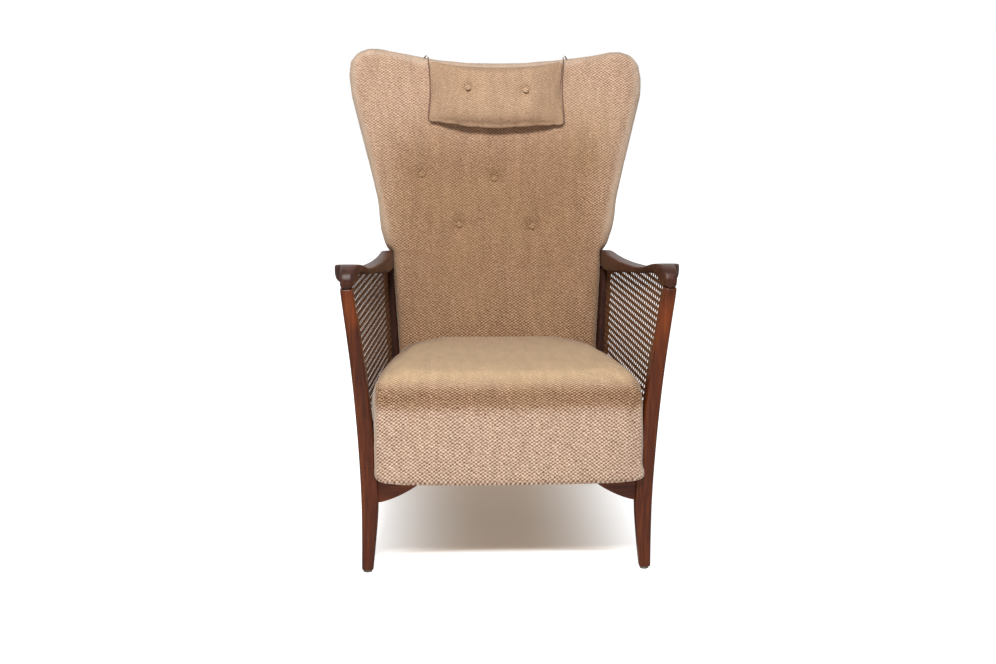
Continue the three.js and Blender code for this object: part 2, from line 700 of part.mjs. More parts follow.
const backRails = [belowFoot, stileLength - backRailInset - backRailHeight].map((low) => ({
  low,
  high: Math.max(low, 0) + backRailHeight,
}));

function backRailTenon(rail, grow) {
  const middle = (Math.max(rail.low, 0) + rail.high) / 2;
  const reach = stileAt(middle) - stileWidth / 2 + tenonLength + grow;
  const half = backRailHeight / 2 - tenonShoulder + grow;
  const y = (backStuffing + frameRear) / 2;
  const thick = tenonThickness / 2 + grow;
  const [low, high] = [middle - half, middle + half];
  const outline = [[-reach, low], [reach, low], [reach, high], [-reach, high]];
  return plate(outline, y - thick, y + thick);
}

function backRail(rail) {
  const outline = [
    [-stileAt(rail.low), rail.low], [stileAt(rail.low), rail.low],
    [stileAt(rail.high), rail.high], [-stileAt(rail.high), rail.high],
  ];
  const body = plate(outline, backStuffing, frameRear).subtract(bothSides(stileBody(fit)));
  return stood(body.add(backRailTenon(rail, 0)));
}

function stile() {
  return stood(backRails.reduce((body, rail) => body.subtract(backRailTenon(rail, fit)), stileBody(0)));
}

function backWebbing() {
  const half = strapWidth / 2;
  const rear = backStuffing - fit;
  const front = rear - webbingThickness;
  const top = stileLength - backRailInset - strapWidth / 2;
  const upright = spaced(backStrapColumnCount, backStrapPitchX).map((x) =>
    block([x - half, front, half], [x + half, rear, top]));
  const across = spaced(backStrapRowCount, backStrapPitchZ, backStrapsMiddle).map((z) => {
    const reach = stileAt(z - half) + stileWidth * strapLapShare;
    return block([-reach, front, z - half], [reach, rear, z + half]);
  });
  return leaned([...upright, ...across].reduce((whole, strap) => whole.add(strap)));
}

const backOutline = wholeOutline(backOutlineShares, backHalfWidth, backLength);
const backCentre = new THREE.Vector2(0, backLength * backCentreShare);
const padThickness = backThickness - coverThickness - fit;

function backPadBody() {
  return stuffed(backOutline, backCentre, backSectionShares, (p, share) =>
    new THREE.Vector3(p.x, padThickness * share, p.y));
}

// The hollow that holds the back's frame and webbing, open at the rear.
function backPocket() {
  const margin = stileWidth / 2 + fit;
  const [low, high] = [belowFoot - overrun, stileLength + fit];
  const [narrow, wide] = [stileAt(low) + margin, stileAt(high) + margin];
  const outline = [[-narrow, low], [narrow, low], [wide, high], [-wide, high]];
  return plate(outline, backStuffing - webbingThickness - 2 * fit, backThickness);
}

// How deep a button's well is at a share of its radius.
const wellShare = (share) => (1 + Math.cos(Math.PI * share)) / 2;

// A smooth well for a button, on a middle line along Y, and the button in it.
function dimple(radius, depth) {
  const profile = [new THREE.Vector2(0, depth)];
  for (let k = 1; k <= dimpleStepCount; k += 1) {
    const share = k / dimpleStepCount;
    profile.push(new THREE.Vector2(radius * share, depth * wellShare(share)));
  }
  profile.push(new THREE.Vector2(radius, -overrun), new THREE.Vector2(0, -overrun));
  return solidOf(new THREE.LatheGeometry(profile, roundSideCount));
}

function button() {
  const profile = buttonProfileShares.map(([r, h]) => new THREE.Vector2(r * buttonRadius, -h * buttonHeight));
  return solidOf(new THREE.LatheGeometry(profile, buttonSideCount));
}

// Cuts a well at each place and gives the buttons that sit in them.
function tufted(pad, places, radius, depth) {
  const buttons = [];
  let body = pad;
  for (const [x, z] of places) {
    const y = frontOf(pad, x, z);
    body = body.subtract(dimple(radius, depth).translate([x, y, z]));
    const seat = depth * wellShare((buttonRadius + fit) / radius) - 2 * fit;
    buttons.push(button().translate([x, y + seat, z]));
  }
  return { body, buttons };
}

const backButtonPlaces = backButtonShares.map(([x, z]) => [x * backHalfWidth, z * backLength]);

// Bolts, along X through the post into the stile

const boltPlaces = boltHeights.map((z) => {
  const y = backFrontAt(z) + (backStuffing + backFrameThickness * boltDepthShare) / Math.cos(backAngle);
  const up = (z - backFoot) / Math.cos(backAngle) + (backStuffing * backSlope) / 2;
  const post = rearLegAt(z);
  const inner = stileAt(up) + stileWidth / 2 - boltReach;
  return { y, z, inner, outer: post.x + post.width / 2 - boltRecess };
});

function rod(from, to, radius, { y, z }) {
  const cylinder = new THREE.CylinderGeometry(radius, radius, to - from, roundSideCount);
  return solidOf(cylinder.rotateZ(Math.PI / 2).translate((from + to) / 2, y, z));
}

function bolt(place, grow) {
  const shank = rod(place.inner - grow, place.outer, boltRadius + grow, place);
  const headEnd = place.outer + (grow > 0 ? boltRecess + overrun : boltHeadHeight);
  return shank.add(rod(place.outer - grow, headEnd, boltHeadRadius + grow, place));
}

const boltHoles = boltPlaces.map((place) => bolt(place, fit)).reduce((all, hole) => all.add(hole));

// Head cushion

function headCushion() {
  const outline = wholeOutline(cushionOutlineShares, cushionHalfWidth, cushionHeight, cushionFoot);
  const centre = new THREE.Vector2(0, cushionFoot + cushionHeight * cushionCentreShare);
  const body = stuffed(outline, centre, cushionSectionShares, (p, share) =>
    new THREE.Vector3(p.x, -cushionGap - cushionThickness * share, p.y));
  const places = headButtonShares.map(([x, z]) => [x * cushionHalfWidth, cushionFoot + z * cushionHeight]);
  return tufted(body, places, headDimpleRadius, headDimpleDepth);
}

const seamDepth = -cushionGap - cushionThickness / 2;
const cordX = cushionHalfWidth + cordRadius + fit;
const hangX = cordX + 2 * cordRadius + fit;
const pivotZ = backTopAt(hangX) + cordPivotLift;

// Height up the slope of the back's top edge at x.
function backTopAt(x) {
  const top = backOutlineShares.slice(-7).map(([share, up]) => [share * backHalfWidth, up * backLength]);
  const row = top.findIndex((p) => p[0] <= x);
  const share = (x - top[row][0]) / (top[row - 1][0] - top[row][0]);
  return THREE.MathUtils.lerp(top[row][1], top[row - 1][1], share);
}

// Twisted cord on a side seam of the cushion, and on up to the top of the back.
function cushionCord() {
  const side = cushionOutlineShares.slice(4, 9);
  const points = side.map(([x, z]) =>
    new THREE.Vector3(x * cushionHalfWidth + cordRadius + fit, seamDepth, cushionFoot + z * cushionHeight));
  const top = points.at(-1);
  const lift = pivotZ - top.z;
  for (const [depth, rise] of cordLeadShares)
    points.push(new THREE.Vector3(cordX, seamDepth * depth, top.z + lift * rise));
  points.push(new THREE.Vector3(cordX, 0, pivotZ));
  return leaned(tube(points, cordRadius, cordSideCount, cushionCordStepCount));
}

// Cord that the cushion hangs from: over the top of the back and down its rear.
function hangingCord() {
  const rear = backThickness + cordRadius + fit;
  const points = [[0, pivotZ], [backThickness / 2, pivotZ], [backThickness * cordBendShare, pivotZ - fit]];
  points.push([rear, pivotZ - cordBend], [rear, pivotZ - cordRear / 2], [rear, pivotZ - cordRear]);
  const route = points.map(([y, z]) => new THREE.Vector3(hangX, y, z));
  return leaned(tube(route, cordRadius, cordSideCount, hangingCordStepCount));
}

// The assembled chair

const chair = new THREE.Group();

function add(name, solid, finish) {
  const mesh = new THREE.Mesh(geometryOf(solid), new THREE.MeshStandardMaterial(finish));
  mesh.name = name;
  chair.add(mesh);
}

// A right-hand piece and its mirror image.
function addPair(name, solid, finish) {
  add(`${name}_right`, solid, finish);
  add(`${name}_left`, mirrored(solid), finish);
}

const slot = caneSlot();
const frontLegCuts = crossTenons(frontPost, frontRailDepth, fit).add(sideRailTenons(fit));
const rearLegCuts = crossTenons(rearPost, rearRailDepth, fit).add(sideRailTenons(fit)).add(boltHoles);
const legs = bothSides(frontLegSolid(fit).add(rearLegSolid(fit)));
addPair("front_leg", frontLegSolid(0).subtract(frontLegCuts).subtract(slot), stainedWood);
addPair("rear_leg", rearLegSolid(0).subtract(rearLegCuts).subtract(slot), stainedWood);
addPair("arm", armBody(0).subtract(legs).subtract(slot), stainedWood);
addPair("side_rail", sideRailBody(0).subtract(legs).add(sideRailTenons(0)).subtract(slot), stainedWood);
addPair("cane_panel", canePanel(), caneFinish);
const frontTenons = crossTenons(frontPost, frontRailDepth, 0);
const rearTenons = crossTenons(rearPost, rearRailDepth, 0);
add("front_rail", frontRailBody(0).subtract(legs).add(frontTenons), stainedWood);
add("rear_rail", rearRailBody(0).subtract(legs).add(rearTenons), stainedWood);
addPair("front_corner_block", cornerBlock(frontPost, frontRailDepth, 1, frontLegSolid), plainWood);
addPair("rear_corner_block", cornerBlock(rearPost, rearRailDepth, -1, rearLegSolid), plainWood);

for (const [name, legAt] of [["front_glide", frontLegAt], ["rear_glide", rearLegAt]]) {
  const at = legAt(glideHeight);
  const height = glideHeight - fit;
  const disc = new THREE.CylinderGeometry(glideRadius, glideRadius * glideFootShare, height, glideSideCount);
  addPair(name, solidOf(disc.rotateX(Math.PI / 2).translate(at.x, at.y, height / 2)), nylon);
}

add("seat_webbing", seatWebbing(), jute);
springLines.forEach((y, row) => springColumns.forEach((x, column) =>
  add(`seat_spring_${row * springColumnCount + column + 1}`, spring(x, y), springSteel)));
add("spring_hessian", slab(cavityOutline(fit), cavityTop - fit - clothThickness, cavityTop - fit), jute);
add("seat_pad", seatPad(), plush);
add("bottom_cover", bottomCover(), blackCloth);

const backHoles = bothSides(boltHoles);
addPair("back_stile", stile().subtract(boltHoles), plainWood);
add("back_bottom_rail", backRail(backRails[0]), plainWood);
add("back_top_rail", backRail(backRails[1]), plainWood);
add("back_webbing", backWebbing(), jute);

const padClear = bothSides(rearLegSolid(softGap).add(armBody(softGap)));
const back = tufted(backPadBody(), backButtonPlaces, dimpleRadius, dimpleDepth);
add("back_pad", stood(back.body.subtract(backPocket())).subtract(padClear).subtract(backHoles), plush);
const coverOutline = backOutline.map((p) => backCentre.clone().lerp(p, coverShare)).map((p) => [p.x, p.y]);
const cover = plate(coverOutline, backThickness - coverThickness, backThickness);
add("back_cover", stood(cover).subtract(padClear), plush);
back.buttons.forEach((body, i) => add(`back_button_${i + 1}`, leaned(body), plush));
boltPlaces.forEach((place, i) => addPair(`back_bolt_${i + 1}`, bolt(place, 0), springSteel));

const head = headCushion();
add("head_cushion", leaned(head.body), plush);
head.buttons.forEach((body, i) => add(`head_button_${i + 1}`, leaned(body), plush));
addPair("cushion_cord", cushionCord(), twistedCord);
addPair("hanging_cord", hangingCord(), twistedCord);

const box = new THREE.Box3().setFromObject(chair);
chair.position.y = -(box.min.y + box.max.y) / 2;

export default chair;
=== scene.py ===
import math

import bmesh
import bpy
from mathutils import Matrix, Vector


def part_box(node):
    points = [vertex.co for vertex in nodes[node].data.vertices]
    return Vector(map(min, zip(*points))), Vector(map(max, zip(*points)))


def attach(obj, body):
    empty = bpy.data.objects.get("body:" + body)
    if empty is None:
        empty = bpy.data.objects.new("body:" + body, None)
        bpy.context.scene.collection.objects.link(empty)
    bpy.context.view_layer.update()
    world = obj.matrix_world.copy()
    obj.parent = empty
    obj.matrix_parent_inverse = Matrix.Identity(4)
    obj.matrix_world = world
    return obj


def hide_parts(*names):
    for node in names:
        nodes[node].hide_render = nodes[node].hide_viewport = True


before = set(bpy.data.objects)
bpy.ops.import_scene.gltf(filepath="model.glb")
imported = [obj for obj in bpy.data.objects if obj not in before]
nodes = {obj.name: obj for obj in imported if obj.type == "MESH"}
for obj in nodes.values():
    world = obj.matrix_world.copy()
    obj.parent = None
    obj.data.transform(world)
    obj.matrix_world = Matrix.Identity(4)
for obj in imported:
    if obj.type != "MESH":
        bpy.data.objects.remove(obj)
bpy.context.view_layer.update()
print("frame loaded")


closeTogether = 1e-5     # points nearer than this are one point


# selecting and finishing

def deselectAll():
    if bpy.context.mode != "OBJECT":
        bpy.ops.object.mode_set(mode="OBJECT")
    bpy.ops.object.select_all(action="DESELECT")


def takeUp(piece):
    deselectAll()
    piece.select_set(True)
    bpy.context.view_layer.objects.active = piece


def startEdit(piece):
    takeUp(piece)
    bpy.ops.object.mode_set(mode="EDIT")
    bpy.ops.mesh.select_mode(type="VERT")
    bpy.ops.mesh.select_all(action="SELECT")


def selectVerts(piece, test):
    mesh = bmesh.from_edit_mesh(piece.data)
    for vert in mesh.verts:
        vert.select = test(vert.co)
    mesh.select_flush(True)
    bmesh.update_edit_mesh(piece.data)


def selectEdges(piece, test):
    mesh = bmesh.from_edit_mesh(piece.data)
    for edge in mesh.edges:
        edge.select = test(edge.verts[0].co, edge.verts[1].co)
    bmesh.update_edit_mesh(piece.data)


def selectFaces(piece, test):
    mesh = bmesh.from_edit_mesh(piece.data)
    for face in mesh.faces:
        face.select = test(face.calc_center_median(), face.normal)
    bmesh.update_edit_mesh(piece.data)


def extrudeBy(move):
    bpy.ops.mesh.extrude_region_move(TRANSFORM_OT_translate={"value": move})


def faceOut(piece):
    startEdit(piece)
    bpy.ops.mesh.remove_doubles(threshold=closeTogether)
    bpy.ops.mesh.normals_make_consistent(inside=False)
    deselectAll()


def applyModifier(piece, kind, **settings):
    takeUp(piece)
    modifier = piece.modifiers.new(kind.title(), kind)
    for key, value in settings.items():
        setattr(modifier, key, value)
    bpy.ops.object.modifier_apply(modifier=modifier.name)


def setPlace(piece):
    takeUp(piece)
    bpy.ops.object.transform_apply(location=True, rotation=True, scale=True)


def smoothShade(piece, angle=None):
    takeUp(piece)
    if angle is None:
        bpy.ops.object.shade_smooth()
    else:
        bpy.ops.object.shade_smooth_by_angle(angle=math.radians(angle))


def addObject(name, data):
    added = bpy.data.objects.new(name, data)
    bpy.context.scene.collection.objects.link(added)
    return added


def copyOf(piece, name):
    return addObject(name, piece.data.copy())


def mirrorOf(piece, name):
    twin = copyOf(piece, name)
    takeUp(twin)
    twin.scale = (-1, 1, 1)
    setPlace(twin)
    startEdit(twin)
    bpy.ops.mesh.normals_make_consistent(inside=False)
    deselectAll()
    return twin


def finishPiece(piece, material, slotName, body, *standsFor):
    piece.data.materials.clear()
    piece.data.materials.append(material)
    if standsFor:
        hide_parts(*standsFor)
    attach(piece, body)


# the left piece is the mirror image of the right one

def finishPair(piece, otherName, node, material, angle):
    other = mirrorOf(piece, otherName)
    for one, side in ((piece, "_right"), (other, "_left")):
        smoothShade(one, angle)
        finishPiece(one, material, "stained_wood", "chair", node + side)


def along(table, place, column=1):
    rows = sorted(table)
    if place <= rows[0][0]:
        return rows[0][column]
    for low, high in zip(rows, rows[1:]):
        if place <= high[0]:
            share = (place - low[0]) / (high[0] - low[0])
            return low[column] + share * (high[column] - low[column])
    return rows[-1][column]


def ease(low, high, value):
    share = min(max((value - low) / (high - low), 0), 1)
    return share * share * (3 - 2 * share)


def mixed(first, second, share):
    return first + (second - first) * share


# what a plane cuts from a solid of the frame gives a piece its sizes at that place

def sectionOf(node, axis, place):
    mesh = bmesh.new()
    mesh.from_mesh(nodes[node].data)
    across = Vector([float(name == axis) for name in "XYZ"])
    parts = mesh.verts[:] + mesh.edges[:] + mesh.faces[:]
    cut = bmesh.ops.bisect_plane(mesh, geom=parts, plane_co=across * place, plane_no=across)["geom_cut"]
    points = [part.co.copy() for part in cut if isinstance(part, bmesh.types.BMVert)]
    mesh.free()
    return points


def spanOf(points):
    low = Vector([min(point[i] for point in points) for i in range(3)])
    high = Vector([max(point[i] for point in points) for i in range(3)])
    return low, high


def stationsAlong(node, axis, places):
    one, two = [i for i, name in enumerate("XYZ") if name != axis]
    stations = []
    for place in places:
        points = sectionOf(node, axis, place)
        low, high = spanOf(points)
        foot = [point.x for point in points if point.z <= low.z + 0.3 * (high.z - low.z)]
        share = (max(foot) - min(foot)) / (high.x - low.x) if axis == "Y" else 1
        stations.append(((low + high) / 2, high[one] - low[one], high[two] - low[two], share))
    return stations


def evenly(low, high, count):
    return [low + (high - low) * i / count for i in range(count + 1)]


def closeAtEnds(low, high, count):
    return [low + (high - low) * (1 - math.cos(math.pi * i / count)) / 2 for i in range(count + 1)]


# materials

def paint(red, green, blue):
    def linear(value):
        value /= 255
        return value / 12.92 if value <= 0.04045 else ((value + 0.055) / 1.055) ** 2.4
    return linear(red), linear(green), linear(blue), 1


class NodeBench:
    def __init__(self, name):
        self.material = bpy.data.materials.new(name)
        self.material.use_nodes = True
        self.tree = self.material.node_tree
        self.shader = self.tree.nodes["Principled BSDF"]

    def add(self, kind, inputs=(), **settings):
        node = self.tree.nodes.new(kind)
        for key, value in settings.items():
            setattr(node, key, value)
        for key, value in dict(inputs).items():
            self.feed(node.inputs[key], value)
        return node

    def feed(self, socket, value):
        if isinstance(value, bpy.types.NodeSocket):
            self.tree.links.new(value, socket)
        else:
            socket.default_value = value

    def maths(self, operation, first, second=0.0, third=0.0):
        return self.add("ShaderNodeMath", {0: first, 1: second, 2: third}, operation=operation).outputs[0]

    def ramp(self, factor, stops):
        node = self.add("ShaderNodeValToRGB", {0: factor})
        for place, colour in stops[2:]:
            node.color_ramp.elements.new(place)
        for element, (place, colour) in zip(node.color_ramp.elements, sorted(stops)):
            element.position = place
            element.color = colour
        return node.outputs[0]

    def mix(self, factor, first, second, blend="MIX"):
        inputs = {0: factor, 6: first, 7: second}
        return self.add("ShaderNodeMix", inputs, data_type="RGBA", blend_type=blend).outputs[2]

    def grey(self, value):
        return self.add("ShaderNodeCombineColor", {0: value, 1: value, 2: value}).outputs[0]

    def objectPlace(self, scale=(1, 1, 1), turn=(0, 0, 0)):
        place = self.add("ShaderNodeTexCoord").outputs["Object"]
        return self.add("ShaderNodeMapping", {0: place, "Scale": scale, "Rotation": turn}).outputs[0]

    def noise(self, place, scale, detail=3, roughness=0.5, distortion=0.0):
        inputs = {"Vector": place, "Scale": scale, "Detail": detail, "Roughness": roughness,
                  "Distortion": distortion}
        return self.add("ShaderNodeTexNoise", inputs).outputs[0]

    def attribute(self, name):
        return self.add("ShaderNodeAttribute", attribute_name=name).outputs["Fac"]

    def spread(self, value, fromLow, fromHigh, toLow=0.0, toHigh=1.0):
        inputs = {0: value, 1: fromLow, 2: fromHigh, 3: toLow, 4: toHigh}
        return self.add("ShaderNodeMapRange", inputs, clamp=True).outputs[0]

    def bump(self, height, strength, distance):
        inputs = {"Strength": strength, "Distance": distance, "Height": height}
        return self.add("ShaderNodeBump", inputs).outputs[0]

    def finish(self, **inputs):
        for key, value in inputs.items():
            self.feed(self.shader.inputs[key.replace("_", " ")], value)
        return self.material


plushLook = {
    "pitchAcross": 0.0098,
    "pitchUp": 0.0070,
    "gap": paint(94, 62, 48),
    "dark": paint(152, 112, 88),
    "light": paint(211, 180, 156),
    "tip": paint(247, 226, 204),
    "khaki": paint(211, 183, 139),
    "golden": paint(234, 229, 215),
    # colour of the painted sheen along the edges of the pads
    "rim": paint(226, 204, 183),
    "roughness": 0.95,
    "relief": 0.0012,
    "level": 0.50,
    "contrast": 0.40,
    "calm": 0.5,             # share of the contrast that is left where the pile lies calm
    "calmClumps": 1.15,
    "wornContrast": 0.62,
    "wornKhaki": 0.52,
    "paintedSheenShare": 0.45,
    # how far deep darkens the pile: real discolouring and stains, and painted shade
    "toneAndShadeDarkening": 0.11,
    "wander": 0.0011,        # how far the rows stray
    "sheen": 0.6,
    "sheenTint": paint(255, 240, 222),
}


def makePlush(name, look):
    bench = NodeBench(name)
    wander = bench.noise(bench.objectPlace(), 160, 1)
    shift = bench.spread(wander, 0.3, 0.7, -look["wander"], look["wander"])
    parts = bench.add("ShaderNodeSeparateXYZ", {0: bench.add("ShaderNodeUVMap", uv_map="weave").outputs[0]})
    waves = []
    for out, pitch in zip(parts.outputs, (look["pitchAcross"], look["pitchUp"])):
        angle = bench.maths("MULTIPLY", bench.maths("ADD", out, shift), 2 * math.pi / pitch)
        waves.append(bench.maths("COSINE", angle))
    dots = bench.maths("MULTIPLY", waves[0], waves[1])
    pile = bench.noise(bench.objectPlace(), 950, 2, 0.6)
    clumps = bench.noise(bench.objectPlace(), 300, 2, 0.6)
    worn, deep, calm, rim = [bench.attribute(name) for name in ("worn", "deep", "calm", "rim")]
    clear = bench.spread(calm, 0, 1, look["contrast"], look["contrast"] * look["calm"])
    clear = bench.maths("MULTIPLY", clear, bench.spread(worn, 0, 1, 1, look["wornContrast"]))
    level = bench.maths("MULTIPLY_ADD", dots, clear, look["level"])
    level = bench.maths("ADD", level, bench.spread(pile, 0.3, 0.7, -0.1, 0.1))
    clumps = bench.spread(clumps, 0.3, 0.7, -0.1, 0.1)
    level = bench.maths("MULTIPLY_ADD", clumps, bench.spread(calm, 0, 1, 1, look["calmClumps"]), level)
    # deep darkens the pile: real discolouring and stains, and painted shade low on the back and round the
    # buttons
    level = bench.maths("MULTIPLY_ADD", deep, -look["toneAndShadeDarkening"], level)
    stops = [(0.0, look["gap"]), (1.0, look["tip"]), (0.32, look["dark"]), (0.66, look["light"])]
    cloth = bench.ramp(level, stops)
    patches = bench.noise(bench.objectPlace(), 7, 3, 0.6)
    khaki = bench.maths("MULTIPLY_ADD", worn, look["wornKhaki"], bench.spread(patches, 0.5, 0.75, 0, 0.1))
    colour = bench.mix(khaki, cloth, look["khaki"])
    # painted sheen: the edges are lifted towards a paler colour
    colour = bench.mix(bench.maths("MULTIPLY", rim, look["paintedSheenShare"]), colour, look["rim"])
    # random ageing and deep tint the pile golden and darker, the deep part partly as painted shade
    agedAndShaded = bench.maths("ADD", bench.spread(patches, 0.35, 0.65, -0.12, 0.12), deep)
    colour = bench.mix(1.0, colour, bench.mix(agedAndShaded, (1, 1, 1, 1), look["golden"]), "MULTIPLY")
    strokes = bench.noise(bench.objectPlace((3, 1, 0.6)), 18, 4, 0.6)
    shade = bench.grey(bench.spread(strokes, 0.3, 0.7, 0.9, 1.08))
    height = bench.maths("MULTIPLY_ADD", dots, clear, bench.maths("MULTIPLY", pile, 0.3))
    return bench.finish(
        Base_Color=bench.mix(1.0, colour, shade, "MULTIPLY"),
        Roughness=look["roughness"],
        Specular_IOR_Level=0.1,
        Sheen_Weight=look["sheen"],
        Sheen_Roughness=0.35,
        Sheen_Tint=look["sheenTint"],
        Normal=bench.bump(height, 0.8, look["relief"]),
    )


woodLook = {
    "dark": paint(44, 17, 5),
    "middle": paint(90, 40, 16),
    "light": paint(126, 64, 28),
    # colour and strength of the painted highlight near the front legs' tops
    "paintedHighlight": paint(168, 80, 30),
    "paintedHighlightShare": 0.34,
    "roughness": 0.3,
    "gloss": 0.24,
}
# painted shade: a darker copy of the wood for the arms and side rails
shadedArmWoodLook = dict(woodLook, dark=paint(31, 14, 8), middle=paint(63, 31, 19), light=paint(93, 52, 34),
                   roughness=0.36)
# painted shade: a darker, duller copy of the wood for the rear legs
shadedWoodLook = dict(woodLook, dark=paint(26, 12, 6), middle=paint(50, 24, 14), light=paint(78, 40, 24),
                      roughness=0.5, gloss=0.1)


# the last argument gives the heights between which a warm painted highlight is laid on the wood, and those
# where it ends again

def makeWood(name, grain, look, paintedHighlightAt=None):
    bench = NodeBench(name)
    scale = [1.0 if axis == grain else 16.0 for axis in "XYZ"]
    fibre = bench.noise(bench.objectPlace(scale), 9, 6, 0.62, 0.4)
    fine = bench.noise(bench.objectPlace([size * 6 for size in scale]), 10, 3, 0.6)
    broad = bench.noise(bench.objectPlace([1.0 if axis == grain else 3.0 for axis in "XYZ"]), 5, 3)
    level = bench.maths("ADD", bench.maths("MULTIPLY", fibre, 0.65), bench.maths("MULTIPLY", broad, 0.35))
    colour = bench.ramp(level, [(0.3, look["dark"]), (0.7, look["light"]), (0.5, look["middle"])])
    pores = bench.grey(bench.spread(fine, 0.32, 0.46, 0.7, 1.0))
    colour = bench.mix(1.0, colour, pores, "MULTIPLY")
    # painted highlight: a warm band on the wood near the top of the front legs
    if paintedHighlightAt:
        height = bench.add("ShaderNodeSeparateXYZ", {0: bench.objectPlace()}).outputs[2]
        rise = bench.spread(height, paintedHighlightAt[0], paintedHighlightAt[1])
        fall = bench.spread(height, paintedHighlightAt[2], paintedHighlightAt[3], 1, 0)
        paintedHighlight = bench.maths("MULTIPLY", bench.maths("MULTIPLY", rise, fall), bench.spread(broad, 0.4, 0.62))
        colour = bench.mix(bench.maths("MULTIPLY", paintedHighlight, look["paintedHighlightShare"]), colour, look["paintedHighlight"])
    grooves = bench.maths("MULTIPLY_ADD", fine, 0.5, fibre)
    return bench.finish(
        Base_Color=colour,
        Roughness=bench.spread(fine, 0.3, 0.7, look["roughness"] + 0.1, look["roughness"]),
        Specular_IOR_Level=look["gloss"],
        Normal=bench.bump(grooves, 0.12, 0.0006),
    )


def makePlain(name, low, high, roughness, scale=(40, 40, 40), metallic=0.0, relief=0.0004):
    bench = NodeBench(name)
    speckle = bench.noise(bench.objectPlace(scale), 5, 4, 0.6)
    return bench.finish(
        Base_Color=bench.ramp(speckle, [(0.35, low), (0.65, high)]),
        Roughness=roughness,
        Metallic=metallic,
        Normal=bench.bump(speckle, 0.4, relief),
    )


def makeWebbing(name, low, high, pitch):
    bench = NodeBench(name)
    place = bench.add("ShaderNodeSeparateXYZ", {0: bench.objectPlace()})
    waves = [bench.maths("SINE", bench.maths("MULTIPLY", out, 2 * math.pi / pitch)) for out in place.outputs]
    woven = bench.maths("MULTIPLY", waves[0], bench.maths("ADD", waves[1], waves[2]))
    level = bench.spread(bench.maths("ADD", woven, bench.noise(bench.objectPlace(), 300, 2)), -1.2, 2.0)
    return bench.finish(Base_Color=bench.ramp(level, [(0.1, low), (0.9, high)]), Roughness=0.95,
                        Normal=bench.bump(level, 0.6, 0.0006))


plush = makePlush("plush", plushLook)
# the front legs carry a painted highlight near their tops
frontLegWood = makeWood("frontLegWood", "Z", woodLook, (0.47, 0.58, 0.61, 0.63))
shadedRearLegWood = makeWood("shadedRearLegWood", "Z", shadedWoodLook)
shadedArmWood = makeWood("shadedArmWood", "Y", shadedArmWoodLook)
railWood = makeWood("railWood", "X", woodLook)
beech = makePlain("beech", paint(168, 128, 82), paint(205, 168, 118), 0.7, (60, 60, 6))
caneFinish = makePlain("caneFinish", paint(66, 36, 15), paint(124, 78, 36), 0.5, (90, 90, 90))
wire = makePlain("wire", paint(110, 110, 106), paint(150, 148, 142), 0.35, (30, 30, 30), 0.9)
jute = makeWebbing("jute", paint(120, 92, 54), paint(190, 156, 104), 0.003)
blackCloth = makeWebbing("blackCloth", paint(22, 21, 20), paint(52, 50, 48), 0.0016)
cordFinish = makePlain("cordFinish", paint(104, 74, 62), paint(172, 134, 114), 0.85, (120, 120, 120))
glideFinish = makePlain("glideFinish", paint(96, 88, 78), paint(132, 124, 112), 0.55)
print("materials made")


# camera, lights and floor

def placeCamera():
    look = {"place": (-0.158, -3.1375, 1.232), "lens": 50, "down": 13.99, "aside": 2.78, "roll": 0.36}
    camera = addObject("camera", bpy.data.cameras.new("camera"))
    camera.data.lens = look["lens"]
    camera.data.sensor_width = 36
    turn = Matrix.Rotation(math.radians(-look["aside"]), 4, "Z")
    tip = Matrix.Rotation(math.radians(90 - look["down"]), 4, "X")
    roll = Matrix.Rotation(math.radians(look["roll"]), 4, "Z")
    camera.matrix_world = Matrix.Translation(look["place"]) @ turn @ tip @ roll
    bpy.context.scene.camera = camera


def addSoftLamp(name, place, target, size, power):
    bpy.ops.object.light_add(type="AREA", location=place)
    lamp = bpy.context.object
    lamp.name = name
    lamp.data.size = size
    lamp.data.energy = power
    lamp.rotation_mode = "QUATERNION"
    lamp.rotation_quaternion = (Vector(target) - Vector(place)).to_track_quat("-Z", "Y")


studioSet = {
    "aim": (0, 0, 0.55),
    "key": {"place": (-0.35, -2.2, 3.0), "size": 0.7, "power": 104},
    "front": {"place": (-0.9, -3.6, 1.5), "size": 2.2, "power": 8},
    "sky": 0.18,
    # warm floor colour round the chair: painted warm light bounced into its shadow
    "floor": paint(238, 220, 202),
    "paleFloor": paint(252, 252, 252),
    # camera-only glow that paints a lighter, warmer shadow under the chair
    "paintedShadowGlow": paint(136, 121, 107),
    "floorSize": 14,
    "whiteCurve": 2.2,       # painted light: the floor is painted white to the sides, ahead and behind, which cuts the chair's shadow off there
    "whiteAcross": (0.02, 0.33),
    "whiteAhead": (0.222, 0.262),
    "whiteBehind": (0.30, 0.60),
}


def lightStudio(look):
    for name in ("key", "front"):
        lamp = look[name]
        addSoftLamp(name + "Lamp", lamp["place"], look["aim"], lamp["size"], lamp["power"])
    world = bpy.data.worlds.new("studio")
    bpy.context.scene.world = world
    world.use_nodes = True
    tree = world.node_tree
    sky = tree.nodes["Background"]
    sky.inputs[0].default_value = (1, 1, 1, 1)
    rays = tree.nodes.new("ShaderNodeLightPath")
    seen = rays.outputs["Is Camera Ray"]
    for kind in ("Is Glossy Ray", "Is Transmission Ray"):
        either = tree.nodes.new("ShaderNodeMath")
        either.operation = "MAXIMUM"
        tree.links.new(seen, either.inputs[0])
        tree.links.new(rays.outputs[kind], either.inputs[1])
        seen = either.outputs[0]
    level = tree.nodes.new("ShaderNodeMapRange")
    tree.links.new(seen, level.inputs[0])
    level.inputs[3].default_value = look["sky"]
    level.inputs[4].default_value = 1
    tree.links.new(level.outputs[0], sky.inputs[1])


